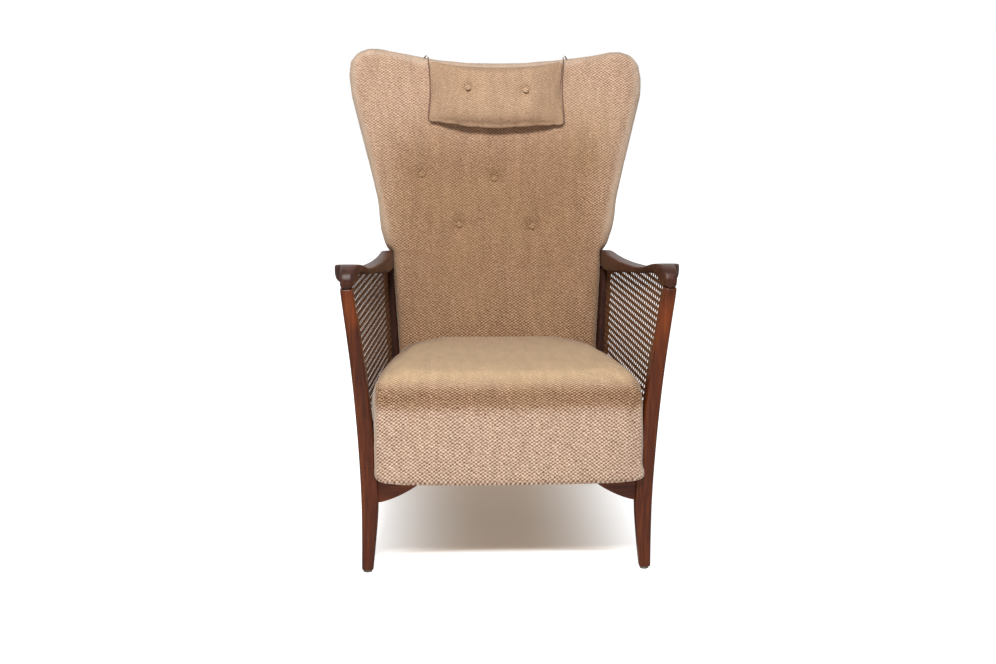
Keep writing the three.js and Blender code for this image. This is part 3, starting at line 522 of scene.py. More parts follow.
def layFloor(look):
    deselectAll()
    bpy.ops.mesh.primitive_plane_add(size=look["floorSize"], location=(0, 0, 0))
    floor = bpy.context.object
    floor.name = "floor"
    setPlace(floor)
    bench = NodeBench("floorPaint")
    # painted light: away from the chair the floor is painted white, and under it a warm glow lifts the shadow
    across, back, up = bench.add("ShaderNodeSeparateXYZ", {0: bench.objectPlace()}).outputs
    aside = bench.spread(bench.maths("ABSOLUTE", across), *look["whiteAcross"])
    white = bench.maths("POWER", aside, look["whiteCurve"])
    ahead = bench.spread(bench.maths("MULTIPLY", back, -1), *look["whiteAhead"])
    white = bench.maths("MAXIMUM", white, ahead)
    white = bench.maths("MAXIMUM", white, bench.spread(back, *look["whiteBehind"]))
    seen = bench.add("ShaderNodeLightPath").outputs["Is Camera Ray"]
    bench.finish(Base_Color=bench.mix(white, look["floor"], look["paleFloor"]), Roughness=0.9,
                 Specular_IOR_Level=0.1, Emission_Color=bench.mix(white, look["paintedShadowGlow"], (1, 1, 1, 1)),
                 Emission_Strength=seen)
    floor.data.materials.append(bench.material)


placeCamera()
lightStudio(studioSet)
layFloor(studioSet)
bpy.context.scene.view_settings.view_transform = "Standard"
print("camera and lights placed")


# bars: a plain section is pulled through stations, each with its centre, two sizes and foot share

sectionTurns = {"Z": (0, 0, 0), "Y": (math.pi / 2, 0, 0), "X": (0, math.pi / 2, 0)}


def sizeAlong(axis, first, second):
    return {"Z": (first, second, 1), "Y": (first, 1, second), "X": (1, first, second)}[axis]


def pullBar(name, axis, stations, rows=1):
    deselectAll()
    centre, first, second, foot = stations[0]
    bpy.ops.mesh.primitive_grid_add(x_subdivisions=1, y_subdivisions=rows, size=1, location=centre,
                                    rotation=sectionTurns[axis])
    bar = bpy.context.object
    bar.name = name
    setPlace(bar)
    startEdit(bar)
    bpy.ops.transform.resize(value=sizeAlong(axis, first, second), center_override=centre)
    for place, wide, high, foot in stations[1:]:
        extrudeBy(place - centre)
        bpy.ops.transform.resize(value=sizeAlong(axis, wide / first, high / second), center_override=place)
        centre, first, second = place, wide, high
    return bar


def roundLongEdges(bar, axis, radius, steps, isPicked=lambda place: True):
    which = "XYZ".index(axis)

    def isLong(one, two):
        return abs(one[which] - two[which]) > 1e-4 and isPicked(one) and isPicked(two)
    bpy.ops.mesh.select_mode(type="EDGE")
    selectEdges(bar, isLong)
    bpy.ops.mesh.bevel(offset=radius, offset_type="OFFSET", segments=steps, clamp_overlap=False)
    faceOut(bar)
    applyModifier(bar, "SUBSURF", levels=2, render_levels=2)


# front and rear legs, with a crisp shoulder under the arm and a crisp foot

frontLegSet = {
    "radius": 0.0055,
    "shoulder": 0.6305,
    "foot": 0.0062,
    "steps": 14,
    "crisp": 0.0012,
    "ledge": 0.0016,         # how much the leg steps in under the arm
}
rearLegSet = dict(frontLegSet, shoulder=0.5670, ledge=0, boltRadius=0.0063, boltDepth=0.0048, boltReach=0.03)


def legStations(node, own):
    heights = evenly(own["foot"], own["shoulder"] - 0.002, own["steps"])
    stations = stationsAlong(node, "Z", heights)
    centre, wide, deep, foot = stations[0]
    nearFoot = Vector((centre.x, centre.y, own["foot"] + own["crisp"]))
    stations.insert(1, (nearFoot, wide, deep, 1))
    centre, wide, deep, foot = stations.pop()
    ledge = own["ledge"]
    underLedge = own["shoulder"] - ledge / 2 - own["crisp"]
    for height, inset in ((underLedge, 0), (own["shoulder"], ledge)):
        stations.append((Vector((centre.x, centre.y, height)), wide - inset, deep - inset, 1))
    return stations


def cutBoltRecess(leg, bolt, own):
    low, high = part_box(bolt)
    face = spanOf(sectionOf("rear_leg_right", "Z", (low.z + high.z) / 2))[1].x
    deselectAll()
    reach = own["boltReach"]
    middle = (face - own["boltDepth"] + reach / 2, (low.y + high.y) / 2, (low.z + high.z) / 2)
    bpy.ops.mesh.primitive_cylinder_add(vertices=40, radius=own["boltRadius"], depth=reach, location=middle,
                                        rotation=(0, math.pi / 2, 0))
    cutter = bpy.context.object
    applyModifier(leg, "BOOLEAN", operation="DIFFERENCE", object=cutter)
    bpy.data.objects.remove(cutter)


def makeLegs(name, node, own, material):
    stations = legStations(node + "_right", own)
    leg = pullBar(name + "Right", "Z", stations)
    roundLongEdges(leg, "Z", own["radius"], 3)
    if "boltRadius" in own:
        cutBoltRecess(leg, "back_bolt_1_right", own)
        cutBoltRecess(leg, "back_bolt_2_right", own)
    finishPair(leg, name + "Left", node, material, 40)
    return stations


frontStations = makeLegs("frontLeg", "front_leg", frontLegSet, frontLegWood)
rearStations = makeLegs("rearLeg", "rear_leg", rearLegSet, shadedRearLegWood)
print("legs made")


# arms: a flat top whose front lobe overhangs the leg

armSet = {
    "radius": 0.0042,
    "steps": 30,
    "inset": 0.0002,
    "lobeStep": (-0.3175, -0.3065),
    "lobeEnd": (-0.255, -0.215),
    "lobeDrop": 0.009,     # the lobe hangs lower on its outer side
    "lobeTuck": 0.007,
    "legSide": 0.3482,     # outer side where the arm lies on the leg
    "setBack": 0.93,       # width of the arm where it meets the leg
    "levels": (0.34, 0.70, 1),
    "topWidth": 0.97,
}


def armRows(high, foot, own):
    upper, middle, lower = [high * level for level in own["levels"]]
    return [(3, lower, foot), (2, middle, (1 + foot) / 2), (1, upper, 1), (0, 0, own["topWidth"])]


def isOnRow(co, y, z):
    return abs(co.y - y) < closeTogether and abs(co.z - z) < 1e-4


def makeArms(own):
    low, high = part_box("arm_right")
    step = own["lobeStep"]
    places = closeAtEnds(low.y + own["inset"], high.y - own["inset"], own["steps"])
    places = sorted([place for place in places if not step[0] - 0.004 < place < step[1] + 0.004] + list(step))
    stations = stationsAlong("arm_right", "Y", places)
    arm = pullBar("armRight", "Y", stations, 3)
    for centre, wide, high, foot in stations:
        top = centre.z + high / 2
        lobe = ease(*step, centre.y) * ease(*reversed(own["lobeEnd"]), centre.y)
        outer = centre.x + wide / 2
        if centre.y < step[1] - 1e-6:
            outer = min(outer, own["legSide"])
        for row, depth, share in armRows(high, foot, own):
            if row == 3 and centre.y < step[0]:
                share *= own["setBack"]
            was = top - high * row / 3
            selectVerts(arm, lambda co: isOnRow(co, centre.y, was))
            bpy.ops.transform.resize(value=(share, 1, 1), center_override=centre)
            bpy.ops.transform.translate(value=(0, 0, top - depth - was))
            selectVerts(arm, lambda co: isOnRow(co, centre.y, top - depth) and co.x > centre.x)
            edge = centre.x + wide / 2 * share
            reach = mixed(min(edge, outer), outer - own["lobeTuck"] * (row == 3), lobe)
            bpy.ops.transform.translate(value=(reach - edge, 0, -own["lobeDrop"] * lobe * row / 3))
    tops = [(centre.y, centre.z + high / 2) for centre, wide, high, foot in stations]
    roundLongEdges(arm, "Y", own["radius"], 2, lambda co: co.z > along(tops, co.y) - 1e-4)
    finishPair(arm, "armLeft", "arm", shadedArmWood, 60)
    return stations


armStations = makeArms(armSet)
print("arms made")


# front rail: its lower edge is an arch between two brackets

frontRailSet = {"radius": 0.003, "reach": 0.2725, "intoLeg": 0.011, "steps": 26}


def makeFrontRail(own):
    places = closeAtEnds(-own["reach"], own["reach"], own["steps"])
    stations = stationsAlong("front_rail", "X", places)
    for end, way in ((0, -1), (-1, 1)):
        centre, deep, high, foot = stations[end]
        grown = (centre + Vector((way * own["intoLeg"], 0, 0)), deep, high, 1)
        stations.insert(0 if way < 0 else len(stations), grown)
    rail = pullBar("frontRail", "X", stations)
    roundLongEdges(rail, "X", own["radius"], 2)
    smoothShade(rail, 40)
    finishPiece(rail, railWood, "stained_wood", "chair", "front_rail")


makeFrontRail(frontRailSet)
print("front rail made")


# cane: one cell of the six-way weave is modelled and repeated, then laid over the panel's twist

caneSet = {
    "pitch": 0.0140,
    "pairShare": 0.14,
    "straight": 0.0025,
    "slanting": 0.0029,
    "thickness": 0.0007,
    "lift": 0.00038,
    "low": (-0.346, 0.260),
    "cells": (37, 29),
    "lap": 0.006,
    "latticePlace": (0, -0.09, 0.46),
    "latticeSize": (0.02, 0.56, 0.42),
    "latticeRows": 7,
}


def addStrand(points, width, thickness):
    start, middle, end = (Vector(p) for p in points)
    ahead = end - start
    deselectAll()
    turn = (math.atan2(-ahead.y, ahead.z), 0, 0)
    bpy.ops.mesh.primitive_plane_add(size=1, location=start, rotation=turn)
    strand = bpy.context.object
    strand.scale = (thickness, width, 1)
    setPlace(strand)
    startEdit(strand)
    bpy.ops.mesh.delete(type="ONLY_FACE")
    bpy.ops.mesh.select_all(action="SELECT")
    for one, two in ((start, middle), (middle, end)):
        extrudeBy(two - one)
    deselectAll()
    return strand


def makeCaneCell(own):
    half = own["pitch"] / 2
    pair = own["pitch"] * own["pairShare"]
    lift = own["lift"]
    strands = []
    for side in (-pair, pair):
        upright = [(-lift / 2, side, -half), (lift, side, 0), (-lift / 2, side, half)]
        level = [(lift / 2, -half, side), (-lift, 0, side), (lift / 2, half, side)]
        for points in (upright, level):
            strands.append(addStrand(points, own["straight"], own["thickness"]))
    over = 1.8 * lift
    for sign in (-1, 1):
        out = half * sign
        rising = [(-over, 0, -out), (0, out / 2, -out / 2), (over, out, 0)]
        falling = [(over, 0, out), (0, out / 2, out / 2), (-over, out, 0)]
        for points in (rising, falling):
            strands.append(addStrand(points, own["slanting"], own["thickness"]))
    takeUp(strands[0])
    for strand in strands:
        strand.select_set(True)
    bpy.ops.object.join()
    return bpy.context.object


frontRows = [(centre.z, centre.x, centre.y) for centre, wide, deep, foot in frontStations]
rearRows = [(centre.z, centre.x, centre.y, centre.y - deep / 2) for centre, wide, deep, foot in rearStations]
armUnders = [(centre.y, centre.z - high / 2) for centre, wide, high, foot in armStations]
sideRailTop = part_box("side_rail_right")[1].z


def caneSurfaceX(y, z):
    frontX, frontY = along(frontRows, z, 1), along(frontRows, z, 2)
    rearX, rearY = along(rearRows, z, 1), along(rearRows, z, 2)
    return frontX + (y - frontY) / (rearY - frontY) * (rearX - frontX)


def isOnPanel(centre, lap):
    if not sideRailTop - lap < centre.z < along(armUnders, centre.y) + lap:
        return False
    return along(frontRows, centre.z, 2) < centre.y < along(rearRows, centre.z, 3) + lap


def makeCanePanels(own):
    panel = makeCaneCell(own)
    panel.name = "canePanelRight"
    panel.location = (0, own["low"][0], own["low"][1])
    setPlace(panel)
    for count, offset in zip(own["cells"], ((0, own["pitch"], 0), (0, 0, own["pitch"]))):
        applyModifier(panel, "ARRAY", count=count, use_relative_offset=False, use_constant_offset=True,
                      constant_offset_displace=offset, use_merge_vertices=True, merge_threshold=closeTogether)
    startEdit(panel)
    bpy.ops.mesh.remove_doubles(threshold=closeTogether)
    bpy.ops.mesh.select_mode(type="FACE")
    selectFaces(panel, lambda centre, normal: not isOnPanel(centre, own["lap"]))
    bpy.ops.mesh.delete(type="FACE")
    bpy.ops.mesh.select_all(action="SELECT")
    bpy.ops.mesh.fill_holes(sides=4)
    bpy.ops.mesh.select_all(action="SELECT")
    bpy.ops.mesh.normals_make_consistent(inside=False)
    deselectAll()
    bpy.ops.object.add(type="LATTICE", location=own["latticePlace"])
    lattice = bpy.context.object
    lattice.scale = own["latticeSize"]
    lattice.data.points_u, lattice.data.points_v, lattice.data.points_w = 2, 2, own["latticeRows"]
    for way in ("interpolation_type_u", "interpolation_type_v", "interpolation_type_w"):
        setattr(lattice.data, way, "KEY_LINEAR")
    for point in lattice.data.points:
        y = lattice.location.y + lattice.scale.y * point.co.y
        z = lattice.location.z + lattice.scale.z * point.co.z
        point.co_deform = point.co + Vector((caneSurfaceX(y, z) / lattice.scale.x, 0, 0))
    bpy.context.view_layer.update()
    applyModifier(panel, "LATTICE", object=lattice)
    bpy.data.objects.remove(lattice)
    other = mirrorOf(panel, "canePanelLeft")
    finishPiece(panel, caneFinish, "cane", "chair", "cane_panel_right")
    finishPiece(other, caneFinish, "cane", "chair", "cane_panel_left")


makeCanePanels(caneSet)
print("cane made")


# padded pieces: a closed copy of the frame's solid is remeshed, then blown up as cloth

clothSet = {"mass": 0.3, "frames": 20}


def softCopy(name, node, own):
    piece = copyOf(nodes[node], name)
    startEdit(piece)
    bpy.ops.mesh.remove_doubles(threshold=closeTogether)
    deselectAll()
    applyModifier(piece, "REMESH", mode="VOXEL", voxel_size=own["voxel"], adaptivity=0)
    applyModifier(piece, "SMOOTH", factor=0.5, iterations=own["rounds"])
    if "fullness" in own:
        applyModifier(piece, "DISPLACE", strength=own["fullness"], mid_level=0)
    return piece


def fillBox(piece, node):
    low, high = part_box(node)
    least, most = spanOf([vert.co for vert in piece.data.vertices])
    for vert in piece.data.vertices:
        for i in range(3):
            vert.co[i] = low[i] + (vert.co[i] - least[i]) * (high[i] - low[i]) / (most[i] - least[i])


def inflate(piece, settings, isHeld):
    rest = [vert.co.copy() for vert in piece.data.vertices]
    held = piece.vertex_groups.new(name="held")
    held.add([i for i, place in enumerate(rest) if isHeld(place)], 1.0, "REPLACE")
    cloth = piece.modifiers.new("Cloth", "CLOTH")
    cloth.settings.quality = settings["quality"]
    cloth.settings.mass = clothSet["mass"]
    for way in ("tension_stiffness", "compression_stiffness", "shear_stiffness"):
        setattr(cloth.settings, way, settings["stiffness"])
    cloth.settings.bending_stiffness = settings["bending"]
    cloth.settings.use_pressure = True
    cloth.settings.uniform_pressure_force = settings["pressure"]
    cloth.settings.effector_weights.gravity = 0
    cloth.settings.vertex_group_mass = "held"
    cloth.collision_settings.use_collision = False
    scene = bpy.context.scene
    for number in range(1, clothSet["frames"] + 1):
        scene.frame_set(number)
    blown = piece.evaluated_get(bpy.context.evaluated_depsgraph_get())
    after = [vert.co.copy() for vert in blown.data.vertices]
    piece.modifiers.remove(cloth)
    scene.frame_set(1)
    moves = []
    for vert, before, now in zip(piece.data.vertices, rest, after):
        move = now - before
        moves.append(move.dot(vert.normal) * 1000)
        if move.length > settings["cap"]:
            move *= settings["cap"] / move.length
        vert.co = before + move
    piece.vertex_groups.clear()
    average = sum(moves) / len(moves)
    print("%s moved out by %.1f mm on the whole, %.1f mm at most" % (piece.name, average, max(moves)))


def nothing(co):
    return 0.0


# four values at each point steer the cloth: deep (darker, more golden pile: real discolouring and stains, and
# painted shade low on the back and round the buttons), worn, calm (less pattern) and rim (painted sheen along
# the edges)

def mapWeave(piece, uvAt, toneAndShadeAt=nothing, wornAt=nothing, calmAt=nothing, paintedSheenAt=nothing):
    mesh = piece.data
    for layer in list(mesh.uv_layers):
        mesh.uv_layers.remove(layer)
    layer = mesh.uv_layers.new(name="weave")
    for polygon in mesh.polygons:
        for loop in polygon.loop_indices:
            layer.data[loop].uv = uvAt(mesh.vertices[mesh.loops[loop].vertex_index].co, polygon.normal)
    for name, valueAt in zip(("deep", "worn", "calm", "rim"), (toneAndShadeAt, wornAt, calmAt, paintedSheenAt)):
        values = mesh.attributes.new(name, "FLOAT", "POINT").data
        for vert, value in zip(mesh.vertices, values):
            value.value = valueAt(vert.co)


def finishPad(piece, body, node):
    smoothShade(piece)
    finishPiece(piece, plush, "plush", body, node)


# the back leans: places on it are given across, into and up the back

backTurn = math.atan(0.32)
backFoot = Vector((0, 0.06952, 0.2723))
leanMatrix = Matrix.Translation(backFoot) @ Matrix.Rotation(-backTurn, 4, "X")


def leaned(place):
    return leanMatrix @ Vector(place)


def unleaned(place):
    return leanMatrix.inverted() @ place


def reshape(piece, shape):
    for vert in piece.data.vertices:
        vert.co = leaned(shape(unleaned(vert.co)))


def dimple(piece, middle, radius, depth, creases):
    spot = unleaned(middle)

    def pressed(place):
        across, up = place.x - spot.x, place.z - spot.z
        away = math.hypot(across, up)
        if away > radius * 3 or place.y > spot.y + 0.02:
            return place
        fall = math.exp(-(away / radius) ** 2)
        ripple = 1 + 0.35 * math.cos(creases * math.atan2(up, across)) * ease(0.3, 1, away / radius)
        return Vector((place.x, place.y + depth * fall * ripple, place.z))
    reshape(piece, pressed)


def buttonMiddle(node):
    low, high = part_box(node)
    return (low + high) / 2


def nearness(co, middles, radius):
    return math.exp(-(min((co - middle).length for middle in middles) / radius) ** 2)


# seat

seatSet = {
    "quality": 2, "voxel": 0.006, "rounds": 5, "fullness": 0.0015,
    "stiffness": 12, "bending": 1.5, "pressure": 3, "cap": 0.005,
    "halfWidth": 0.275,
    "rollBehind": -0.352,          # the front roll lies ahead of this place
    "rollWider": (0.7, 45),
    "rollOut": 0.004,
    "rollAside": 0.0022,
    "cornerOut": (0.002, 0.009),   # left and right lower corner
    "shoulders": (0.015, 0.012),   # out and up
    "rearDrop": 0.018,
    "legGap": 0.001,
    "crown": 0.047,                # the turn from top to front, below the highest point
    "wornBelow": (0.028, -0.002),
    "stain": (0.262, -0.375, -0.012),
    # width of the painted sheen along the sides
    "rim": 0.012,
}


def clearOfLegs(co, gap):
    for centre, wide, deep, foot in frontStations:
        if abs(co.z - centre.z) < 0.025 and abs(co.y - centre.y) < deep / 2 + gap:
            inner = centre.x - wide / 2 - gap
            if abs(co.x) > inner:
                co.x = math.copysign(inner, co.x)
                return


def shapeSeat(co, low, high, own):
    half = own["halfWidth"]
    ahead = max(own["rollBehind"] - co.y, 0)
    first, second = own["rollWider"]
    co.x *= 1 + first * ahead + second * ahead * ahead
    inFront = ease(0, 0.01, ahead)
    corner = ease(low.z + 0.045, low.z + 0.008, co.z) * ease(0.2, half, abs(co.x))
    wider = own["rollOut"] * ease(0.24, half, abs(co.x)) + own["cornerOut"][co.x > 0] * corner
    co.x += math.copysign(wider * inFront, co.x) + own["rollAside"] * inFront
    aside = min(abs(co.x) / half, 1)
    above = min(max((co.z - high.z + 0.11) / 0.11, 0), 1)
    shoulder = (aside * above) ** 3 * ease(0.02, -0.08, co.y)
    co.x += math.copysign(own["shoulders"][0] * shoulder, co.x)
    co.z += own["shoulders"][1] * shoulder
    atRear = ease(0.10, 0.26, abs(co.x)) * ease(-0.06, 0.08, co.y)
    co.z -= own["rearDrop"] * atRear * ease(high.z - 0.08, high.z, co.z)
    clearOfLegs(co, own["legGap"])


def makeSeat(own):
    seat = softCopy("seatPad", "seat_pad", own)
    fillBox(seat, "seat_pad")
    low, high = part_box("seat_pad")

    def isHeld(co):
        under = co.z < high.z - 0.054 and abs(co.x) < 0.2
        return co.z < low.z + 0.09 or unleaned(co).y > -0.012 or under
    inflate(seat, own, isHeld)
    for vert in seat.data.vertices:
        shapeSeat(vert.co, low, high, own)

    def uvAt(co, normal):
        if abs(normal.x) > max(abs(normal.z), abs(normal.y)):
            return math.copysign(abs(co.x) + co.y - low.y, co.x), co.z * 0.9
        return co.x, (co.z + co.y - low.y) * 0.9

    crown = high.z - own["crown"]
    wornLow, wornHigh = [high.z - below for below in own["wornBelow"]]
    stain = Vector(own["stain"]) + Vector((0, 0, crown))

    def toneAndShadeAt(co):
        band = math.exp(-((co.z - crown - 0.006) / 0.024) ** 2)
        spot = Vector((co.x - stain.x - 0.3 * (co.z - stain.z), 0, (co.z - stain.z) / 4))
        stained = math.exp(-(spot.length / 0.004) ** 2)
        return -0.5 + 1.9 * band + 0.3 * ease(crown, high.z - 0.01, co.z) + 1.2 * stained

    # painted sheen along the seat's sides, below the top
    def paintedSheenAt(co):
        aside = ease(high.x - own["rim"], high.x, abs(co.x))
        return 0.8 * aside * ease(high.z - 0.02, high.z - 0.05, co.z)
    mapWeave(seat, uvAt, toneAndShadeAt, lambda co: ease(wornLow, wornHigh, co.z), nothing, paintedSheenAt)
    finishPad(seat, "chair", "seat_pad")


makeSeat(seatSet)
print("seat made")


# back

backSet = {
    "quality": 2, "voxel": 0.006, "rounds": 5, "fullness": 0.0030,
    "stiffness": 14, "bending": 1.5, "pressure": 2.5, "cap": 0.004,
    "dimpleRadius": 0.017,
    "dimpleDepth": 0.003,
    "postGap": 0.0005,
    "armGap": 0.0008,
    "overPosts": 0.009,            # the cover bulges just above the arms
    "behindArms": (0.0415, 0.006),
    "wing": 0.0055,
    "earDrop": 0.006,
    # width of the painted sheen along the outline
    "paintedSheenWidth": 0.022,
}


def backUv(co, normal):
    place = unleaned(co)
    out = leanMatrix.inverted().to_3x3() @ normal
    flat = Vector((out.x, 0, out.z))
    share = ease(0.3, 0.8, flat.length)
    flat.normalize()
    return place.x + place.y * flat.x * share, (place.z + place.y * flat.z * share) * 1.045


def makeBack(own):
    back = softCopy("backPad", "back_pad", own)
    middles = [buttonMiddle("back_button_%d" % number) for number in (1, 2, 3, 4)]

    def isHeld(co):
        place = unleaned(co)
        if place.y > 0.016 or place.z < 0.10:
            return True
        return min((co - middle).length for middle in middles) < 0.012
    inflate(back, own, isHeld)
    for middle in middles:
        dimple(back, middle, own["dimpleRadius"], own["dimpleDepth"], 5)
    posts = [(centre.z, centre.x - wide / 2 - own["postGap"]) for centre, wide, deep, foot in rearStations]
    pads = [(z, spanOf(sectionOf("back_pad", "Z", z))[1].x) for z in evenly(0.28, 0.56, 7)]
    top = rearLegSet["shoulder"] + 0.008
    armSides = [(centre.y, centre.x - wide / 2) for centre, wide, high, foot in armStations]
    beyond, filling = own["behindArms"]
    for co in [vert.co for vert in back.data.vertices]:
        up = co.z - top
        depth = unleaned(co).y
        post = along(posts, co.z)
        wide = abs(co.x) * mixed(1, post / along(pads, co.z), ease(0.055, -0.015, up))
        if up < 0 and depth < beyond:
            wide = min(wide, post)
        wide += own["overPosts"] * ease(0.022, 0.05, up) * ease(0.16, 0.07, up) * ease(0.12, 0.2, wide)
        if depth < beyond:
            limit = along(armSides, co.y) - own["armGap"]
            wide = min(wide, mixed(limit, max(limit, wide), ease(0.027, 0.046, up)))
        behind = ease(beyond, beyond + 0.004, depth) * ease(0.44, 0.5, co.z) * ease(0.64, 0.6, co.z)
        wide += filling * behind * ease(0.2, 0.24, wide)
        onWing = ease(0.12, 0.25, co.x)
        wide += own["wing"] * onWing * ease(0.05, 0.13, up) * ease(1.05, 0.97, co.z)
        co.z -= own["earDrop"] * onWing * ease(0.97, 1.06, co.z)
        co.x = math.copysign(wide, co.x)
    widths = [(z, spanOf(sectionOf("back_pad", "Z", z))[1].x) for z in evenly(0.3, 1.07, 40)]
    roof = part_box("back_pad")[1].z

    # darker, golden pile where the back is leaned on (discolouring, partly painted shade), and painted shade
    # low on the back near the seat and round the buttons
    def toneAndShadeAt(co):
        place = unleaned(co)
        contact = ease(0.74, 0.55, place.z) * ease(0.34, 0.20, abs(place.x))
        low = ease(0.25, 0.05, place.z)
        return 0.95 * contact + 0.55 * low + 0.5 * nearness(co, middles, 0.011)

    def calmAt(co):
        return mixed(0.1, 1 - 0.35 * ease(0.15, 0.25, abs(co.x)), ease(0.42, 0.6, co.z))

    # painted sheen along the back's outline and top
    def paintedSheenAt(co):
        aside = along(widths, co.z) - abs(co.x)
        above = roof - co.z - 0.035 * ease(0.29, 0.1, abs(co.x))
        near = min(aside, above) if co.z > 0.62 else aside
        return ease(own["paintedSheenWidth"], 0.003, near) * ease(0.6, 0.68, co.z)
    mapWeave(back, backUv, toneAndShadeAt, lambda co: 0.1, calmAt, paintedSheenAt)
    finishPad(back, "chair", "back_pad")


makeBack(backSet)
print("back made")


# cloth panel behind the back

coverSet = {"voxel": 0.004, "rounds": 3}


def makeBackCover(own):
    cover = softCopy("backCover", "back_cover", own)
    mapWeave(cover, backUv, lambda co: 0.3)
    finishPad(cover, "chair", "back_cover")


makeBackCover(coverSet)
print("back cover made")


# head cushion

headSet = {
    "quality": 3, "voxel": 0.004, "rounds": 6,
    "stiffness": 12, "bending": 0.6, "pressure": 4, "cap": 0.004,
    "dimpleRadius": 0.012,
    "dimpleDepth": 0.0025,
    "backGap": 0.0008,
    "halfWidth": 0.164,
    "edges": (0.664, 0.82),        # lower and upper edge, up the back
    "sideLean": 0.5,               # the sides lie nearer to the back
    "seamDepth": -0.0285,
    "lip": 0.0055,
    "lipThickness": 0.0045,
    "cornerLift": 0.008,
    "topDrop": 0.008,
    "front": -0.0566,
}


def sidesNearBack(place):
    share = 1 - headSet["sideLean"] * ease(0.08, headSet["halfWidth"], abs(place.x))
    return Vector((place.x, place.y * share, place.z))


def cornerLifted(place):
    lift = headSet["cornerLift"] * ease(0.06, headSet["halfWidth"], -place.x) * ease(0.75, 0.67, place.z)
    return Vector((place.x, place.y, place.z + lift))


def headShape(place):
    inSeam = math.exp(-((place.y - headSet["seamDepth"]) / headSet["lipThickness"]) ** 2)
    drop = headSet["lip"] * inSeam * ease(0.69, 0.665, place.z)
    drop += headSet["topDrop"] * ease(0.70, 0.82, place.z) * ease(0.17, 0.09, abs(place.x))
    place = Vector((place.x, place.y, place.z - drop))
    place = cornerLifted(sidesNearBack(place))
    place.y = min(place.y, -headSet["backGap"])
    return place


def headUv(co, normal):
    place = unleaned(co)
    low, high = headSet["edges"]
    depth = max(place.y - headSet["front"], 0)
    aside = math.copysign(depth * ease(0.1, headSet["halfWidth"], abs(place.x)) * 0.6, place.x)
    upward = depth * (ease(high - 0.03, high, place.z) - ease(low + 0.03, low, place.z))
    return place.x + aside, (place.z + upward) * 1.25


def makeHeadCushion(own):
    head = softCopy("headCushion", "head_cushion", own)
    middles = [buttonMiddle("head_button_%d" % number) for number in (1, 2)]

    def isHeld(co):
        return unleaned(co).y > -0.012 or min((co - middle).length for middle in middles) < 0.011
    inflate(head, own, isHeld)
    fillBox(head, "head_cushion")
    for middle in middles:
        dimple(head, middle, own["dimpleRadius"], own["dimpleDepth"], 6)
    reshape(head, headShape)
    applyModifier(head, "SUBSURF", levels=1, render_levels=1)

    # a darker tone over the whole cushion, and painted shade round the buttons
    def toneAndShadeAt(co):
        return 0.25 + 0.5 * nearness(co, middles, 0.011)
    mapWeave(head, headUv, toneAndShadeAt, lambda co: 0.3, lambda co: 1)
    finishPad(head, "head_cushion", "head_cushion")


makeHeadCushion(headSet)
print("head cushion made")


# covered buttons: a domed face over a rim that is drawn in at the rear

buttonSet = {"radius": 0.0086, "dome": 0.0026, "rim": 0.0018, "turnIn": 0.0066, "proud": 0.0015, "worn": 0.4,
             "deep": {"chair": 1.2, "head_cushion": 0.2}}


def makeButton(name, node, body, own):
    deselectAll()
    bpy.ops.mesh.primitive_circle_add(vertices=24, radius=own["radius"], fill_type="NGON")
    button = bpy.context.object
    button.name = name
    startEdit(button)
    steps = [(-own["rim"], own["turnIn"]), (-own["rim"] * 1.4, own["turnIn"] * 0.8)]
    radius, level = own["radius"], 0
    for place, wide in steps:
        extrudeBy((0, 0, place - level))
        bpy.ops.transform.resize(value=(wide / radius, wide / radius, 1), center_override=(0, 0, place))
        radius, level = wide, place
    selectFaces(button, lambda centre, normal: abs(centre.z) < 1e-6)
    radius, level = own["radius"], 0
    for share in (0.86, 0.6, 0.3):
        place = own["dome"] * math.sqrt(1 - share * share)
        extrudeBy((0, 0, place - level))
        shrink = own["radius"] * share / radius
        bpy.ops.transform.resize(value=(shrink, shrink, 1), center_override=(0, 0, place))
        radius, level = own["radius"] * share, place
    faceOut(button)
    applyModifier(button, "SUBSURF", levels=1, render_levels=1)
    button.rotation_euler = (math.pi / 2 - backTurn, 0, 0)
    button.location = leaned(unleaned(buttonMiddle(node)) - Vector((0, own["proud"], 0)))
    setPlace(button)

    def uvAt(co, normal):
        place = unleaned(co)
        return place.x, place.z
    mapWeave(button, uvAt, lambda co: own["deep"][body], lambda co: own["worn"])
    smoothShade(button)
    finishPiece(button, plush, "plush", body, node)


for number in (1, 2, 3, 4):
    makeButton("backButton%d" % number, "back_button_%d" % number, "chair", buttonSet)
for number in (1, 2):
    makeButton("headButton%d" % number, "head_button_%d" % number, "head_cushion", buttonSet)
print("buttons made")


# twisted cords: one turn of three strands is repeated and laid along the frame's cord

cordSet = {"strand": 0.00085, "offset": 0.00078, "turn": 0.0075, "stepsPerTurn": 8, "filled": 0.985,
           "drift": 0.011, "sink": 0.004}


def makeCordTurn(name, own):
    deselectAll()
    bpy.ops.mesh.primitive_circle_add(vertices=7, radius=own["strand"], rotation=(0, math.pi / 2, 0),
                                      location=(0, own["offset"], 0))
    strand = bpy.context.object
    strand.name = name
    setPlace(strand)
    startEdit(strand)
    for step in range(own["stepsPerTurn"]):
        extrudeBy((own["turn"] / own["stepsPerTurn"], 0, 0))
        bpy.ops.transform.rotate(value=math.tau / own["stepsPerTurn"], orient_axis="X",
                                 center_override=(0, 0, 0))
    deselectAll()
    twins = [strand]
    for third in (1, 2):
        twin = copyOf(strand, name)
        twin.rotation_euler = (math.tau * third / 3, 0, 0)
        setPlace(twin)
        twins.append(twin)
    takeUp(strand)
    for twin in twins:
        twin.select_set(True)
    bpy.ops.object.join()
    return strand


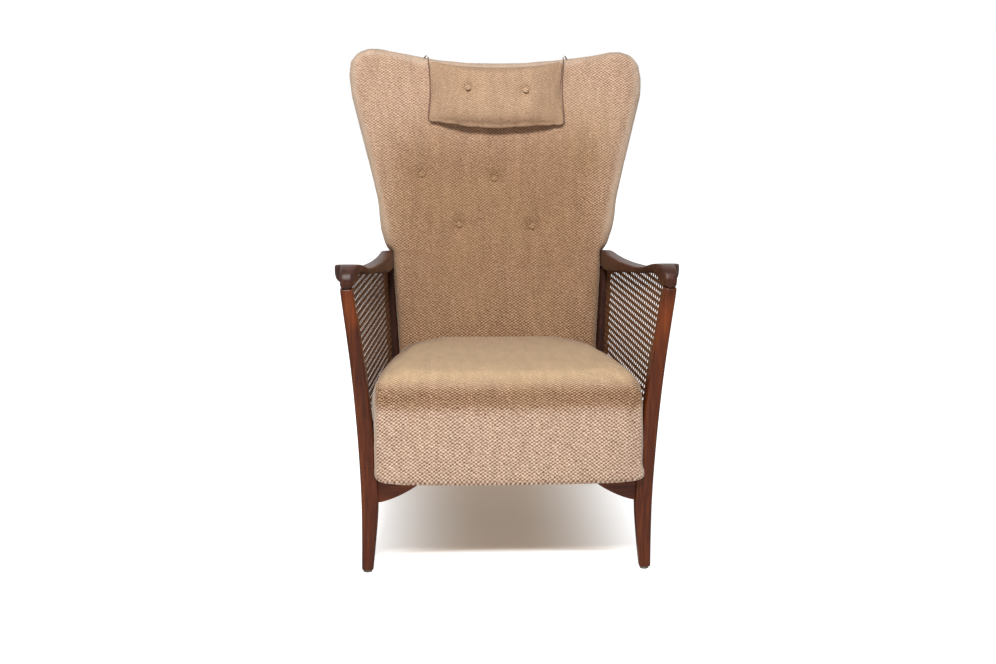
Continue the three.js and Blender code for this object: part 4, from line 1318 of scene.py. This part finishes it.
def makeCord(name, node, route, body, own):
    path = bpy.data.curves.new(name + "Route", "CURVE")
    path.dimensions = "3D"
    spline = path.splines.new("NURBS")
    spline.points.add(len(route) - 1)
    for point, place in zip(spline.points, route):
        point.co = (*place, 1)
    spline.use_endpoint_u = True
    spline.order_u = 3
    spline.resolution_u = 8
    guide = addObject(name + "Route", path)
    length = sum((two - one).length for one, two in zip(route, route[1:]))
    cord = makeCordTurn(name, own)
    turns = int(length * own["filled"] / own["turn"])
    applyModifier(cord, "ARRAY", count=turns, use_relative_offset=False, use_constant_offset=True,
                  constant_offset_displace=(own["turn"], 0, 0), use_merge_vertices=True,
                  merge_threshold=closeTogether)
    applyModifier(cord, "CURVE", object=guide, deform_axis="POS_X")
    bpy.data.objects.remove(guide)
    startEdit(cord)
    bpy.ops.mesh.fill_holes(sides=8)
    faceOut(cord)
    smoothShade(cord, 60)
    finishPiece(cord, cordFinish, "twisted_cord", body, node)


def middleAt(node, axis, place, isPicked=lambda point: True):
    low, high = spanOf([point for point in sectionOf(node, axis, place) if isPicked(point)])
    return (low + high) / 2


def mirrored(route):
    return [Vector((-place.x, place.y, place.z)) for place in route]


def makeCords(own):
    low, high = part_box("cushion_cord_right")
    seam = [middleAt("cushion_cord_right", "Z", z) for z in evenly(low.z + 0.001, high.z - 0.006, 12)]
    seam.append(middleAt("cushion_cord_right", "Y", high.y - 0.001, lambda point: point.z > high.z - 0.02))
    seam = [leaned(sidesNearBack(unleaned(place))) for place in seam]
    low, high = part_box("hanging_cord_right")
    bend = high.y - 0.007
    over = [middleAt("hanging_cord_right", "Y", y, lambda point: point.z > high.z - 0.02)
            for y in evenly(low.y + 0.001, bend, 6)]
    down = [middleAt("hanging_cord_right", "Z", z, lambda point: point.y > bend - 0.03)
            for z in evenly(high.z - 0.014, low.z + 0.001, 6)]
    over += down
    for place in over:
        gone = ease(low.y, low.y + 0.03, place.y)
        place.x += own["drift"] * gone
        place.z -= own["sink"] * gone
    for side, turn in (("Right", list), ("Left", mirrored)):
        if side == "Left":
            seam = [leaned(cornerLifted(unleaned(place))) for place in turn(seam)]
        makeCord("cushionCord" + side, "cushion_cord_" + side.lower(), seam, "head_cushion", own)
        makeCord("hangingCord" + side, "hanging_cord_" + side.lower(), turn(over), "chair", own)


makeCords(cordSet)
print("cords made")


# the frame's own solids that show or lie inside keep their shape

finishes = {
    "side_rail": shadedArmWood,
    "rear_rail": railWood,
    "corner_block": beech,
    "back_stile": beech,
    "back_top_rail": beech,
    "back_bottom_rail": beech,
    "spring_hessian": jute,
    "seat_spring": wire,
    "back_bolt": wire,
    "webbing": jute,
    "bottom_cover": blackCloth,
    "glide": glideFinish,
    "cord": cordFinish,
}
for name, node in nodes.items():
    for key, material in finishes.items():
        if key in name:
            node.data.materials.clear()
            node.data.materials.append(material)
            break
print("frame finished")
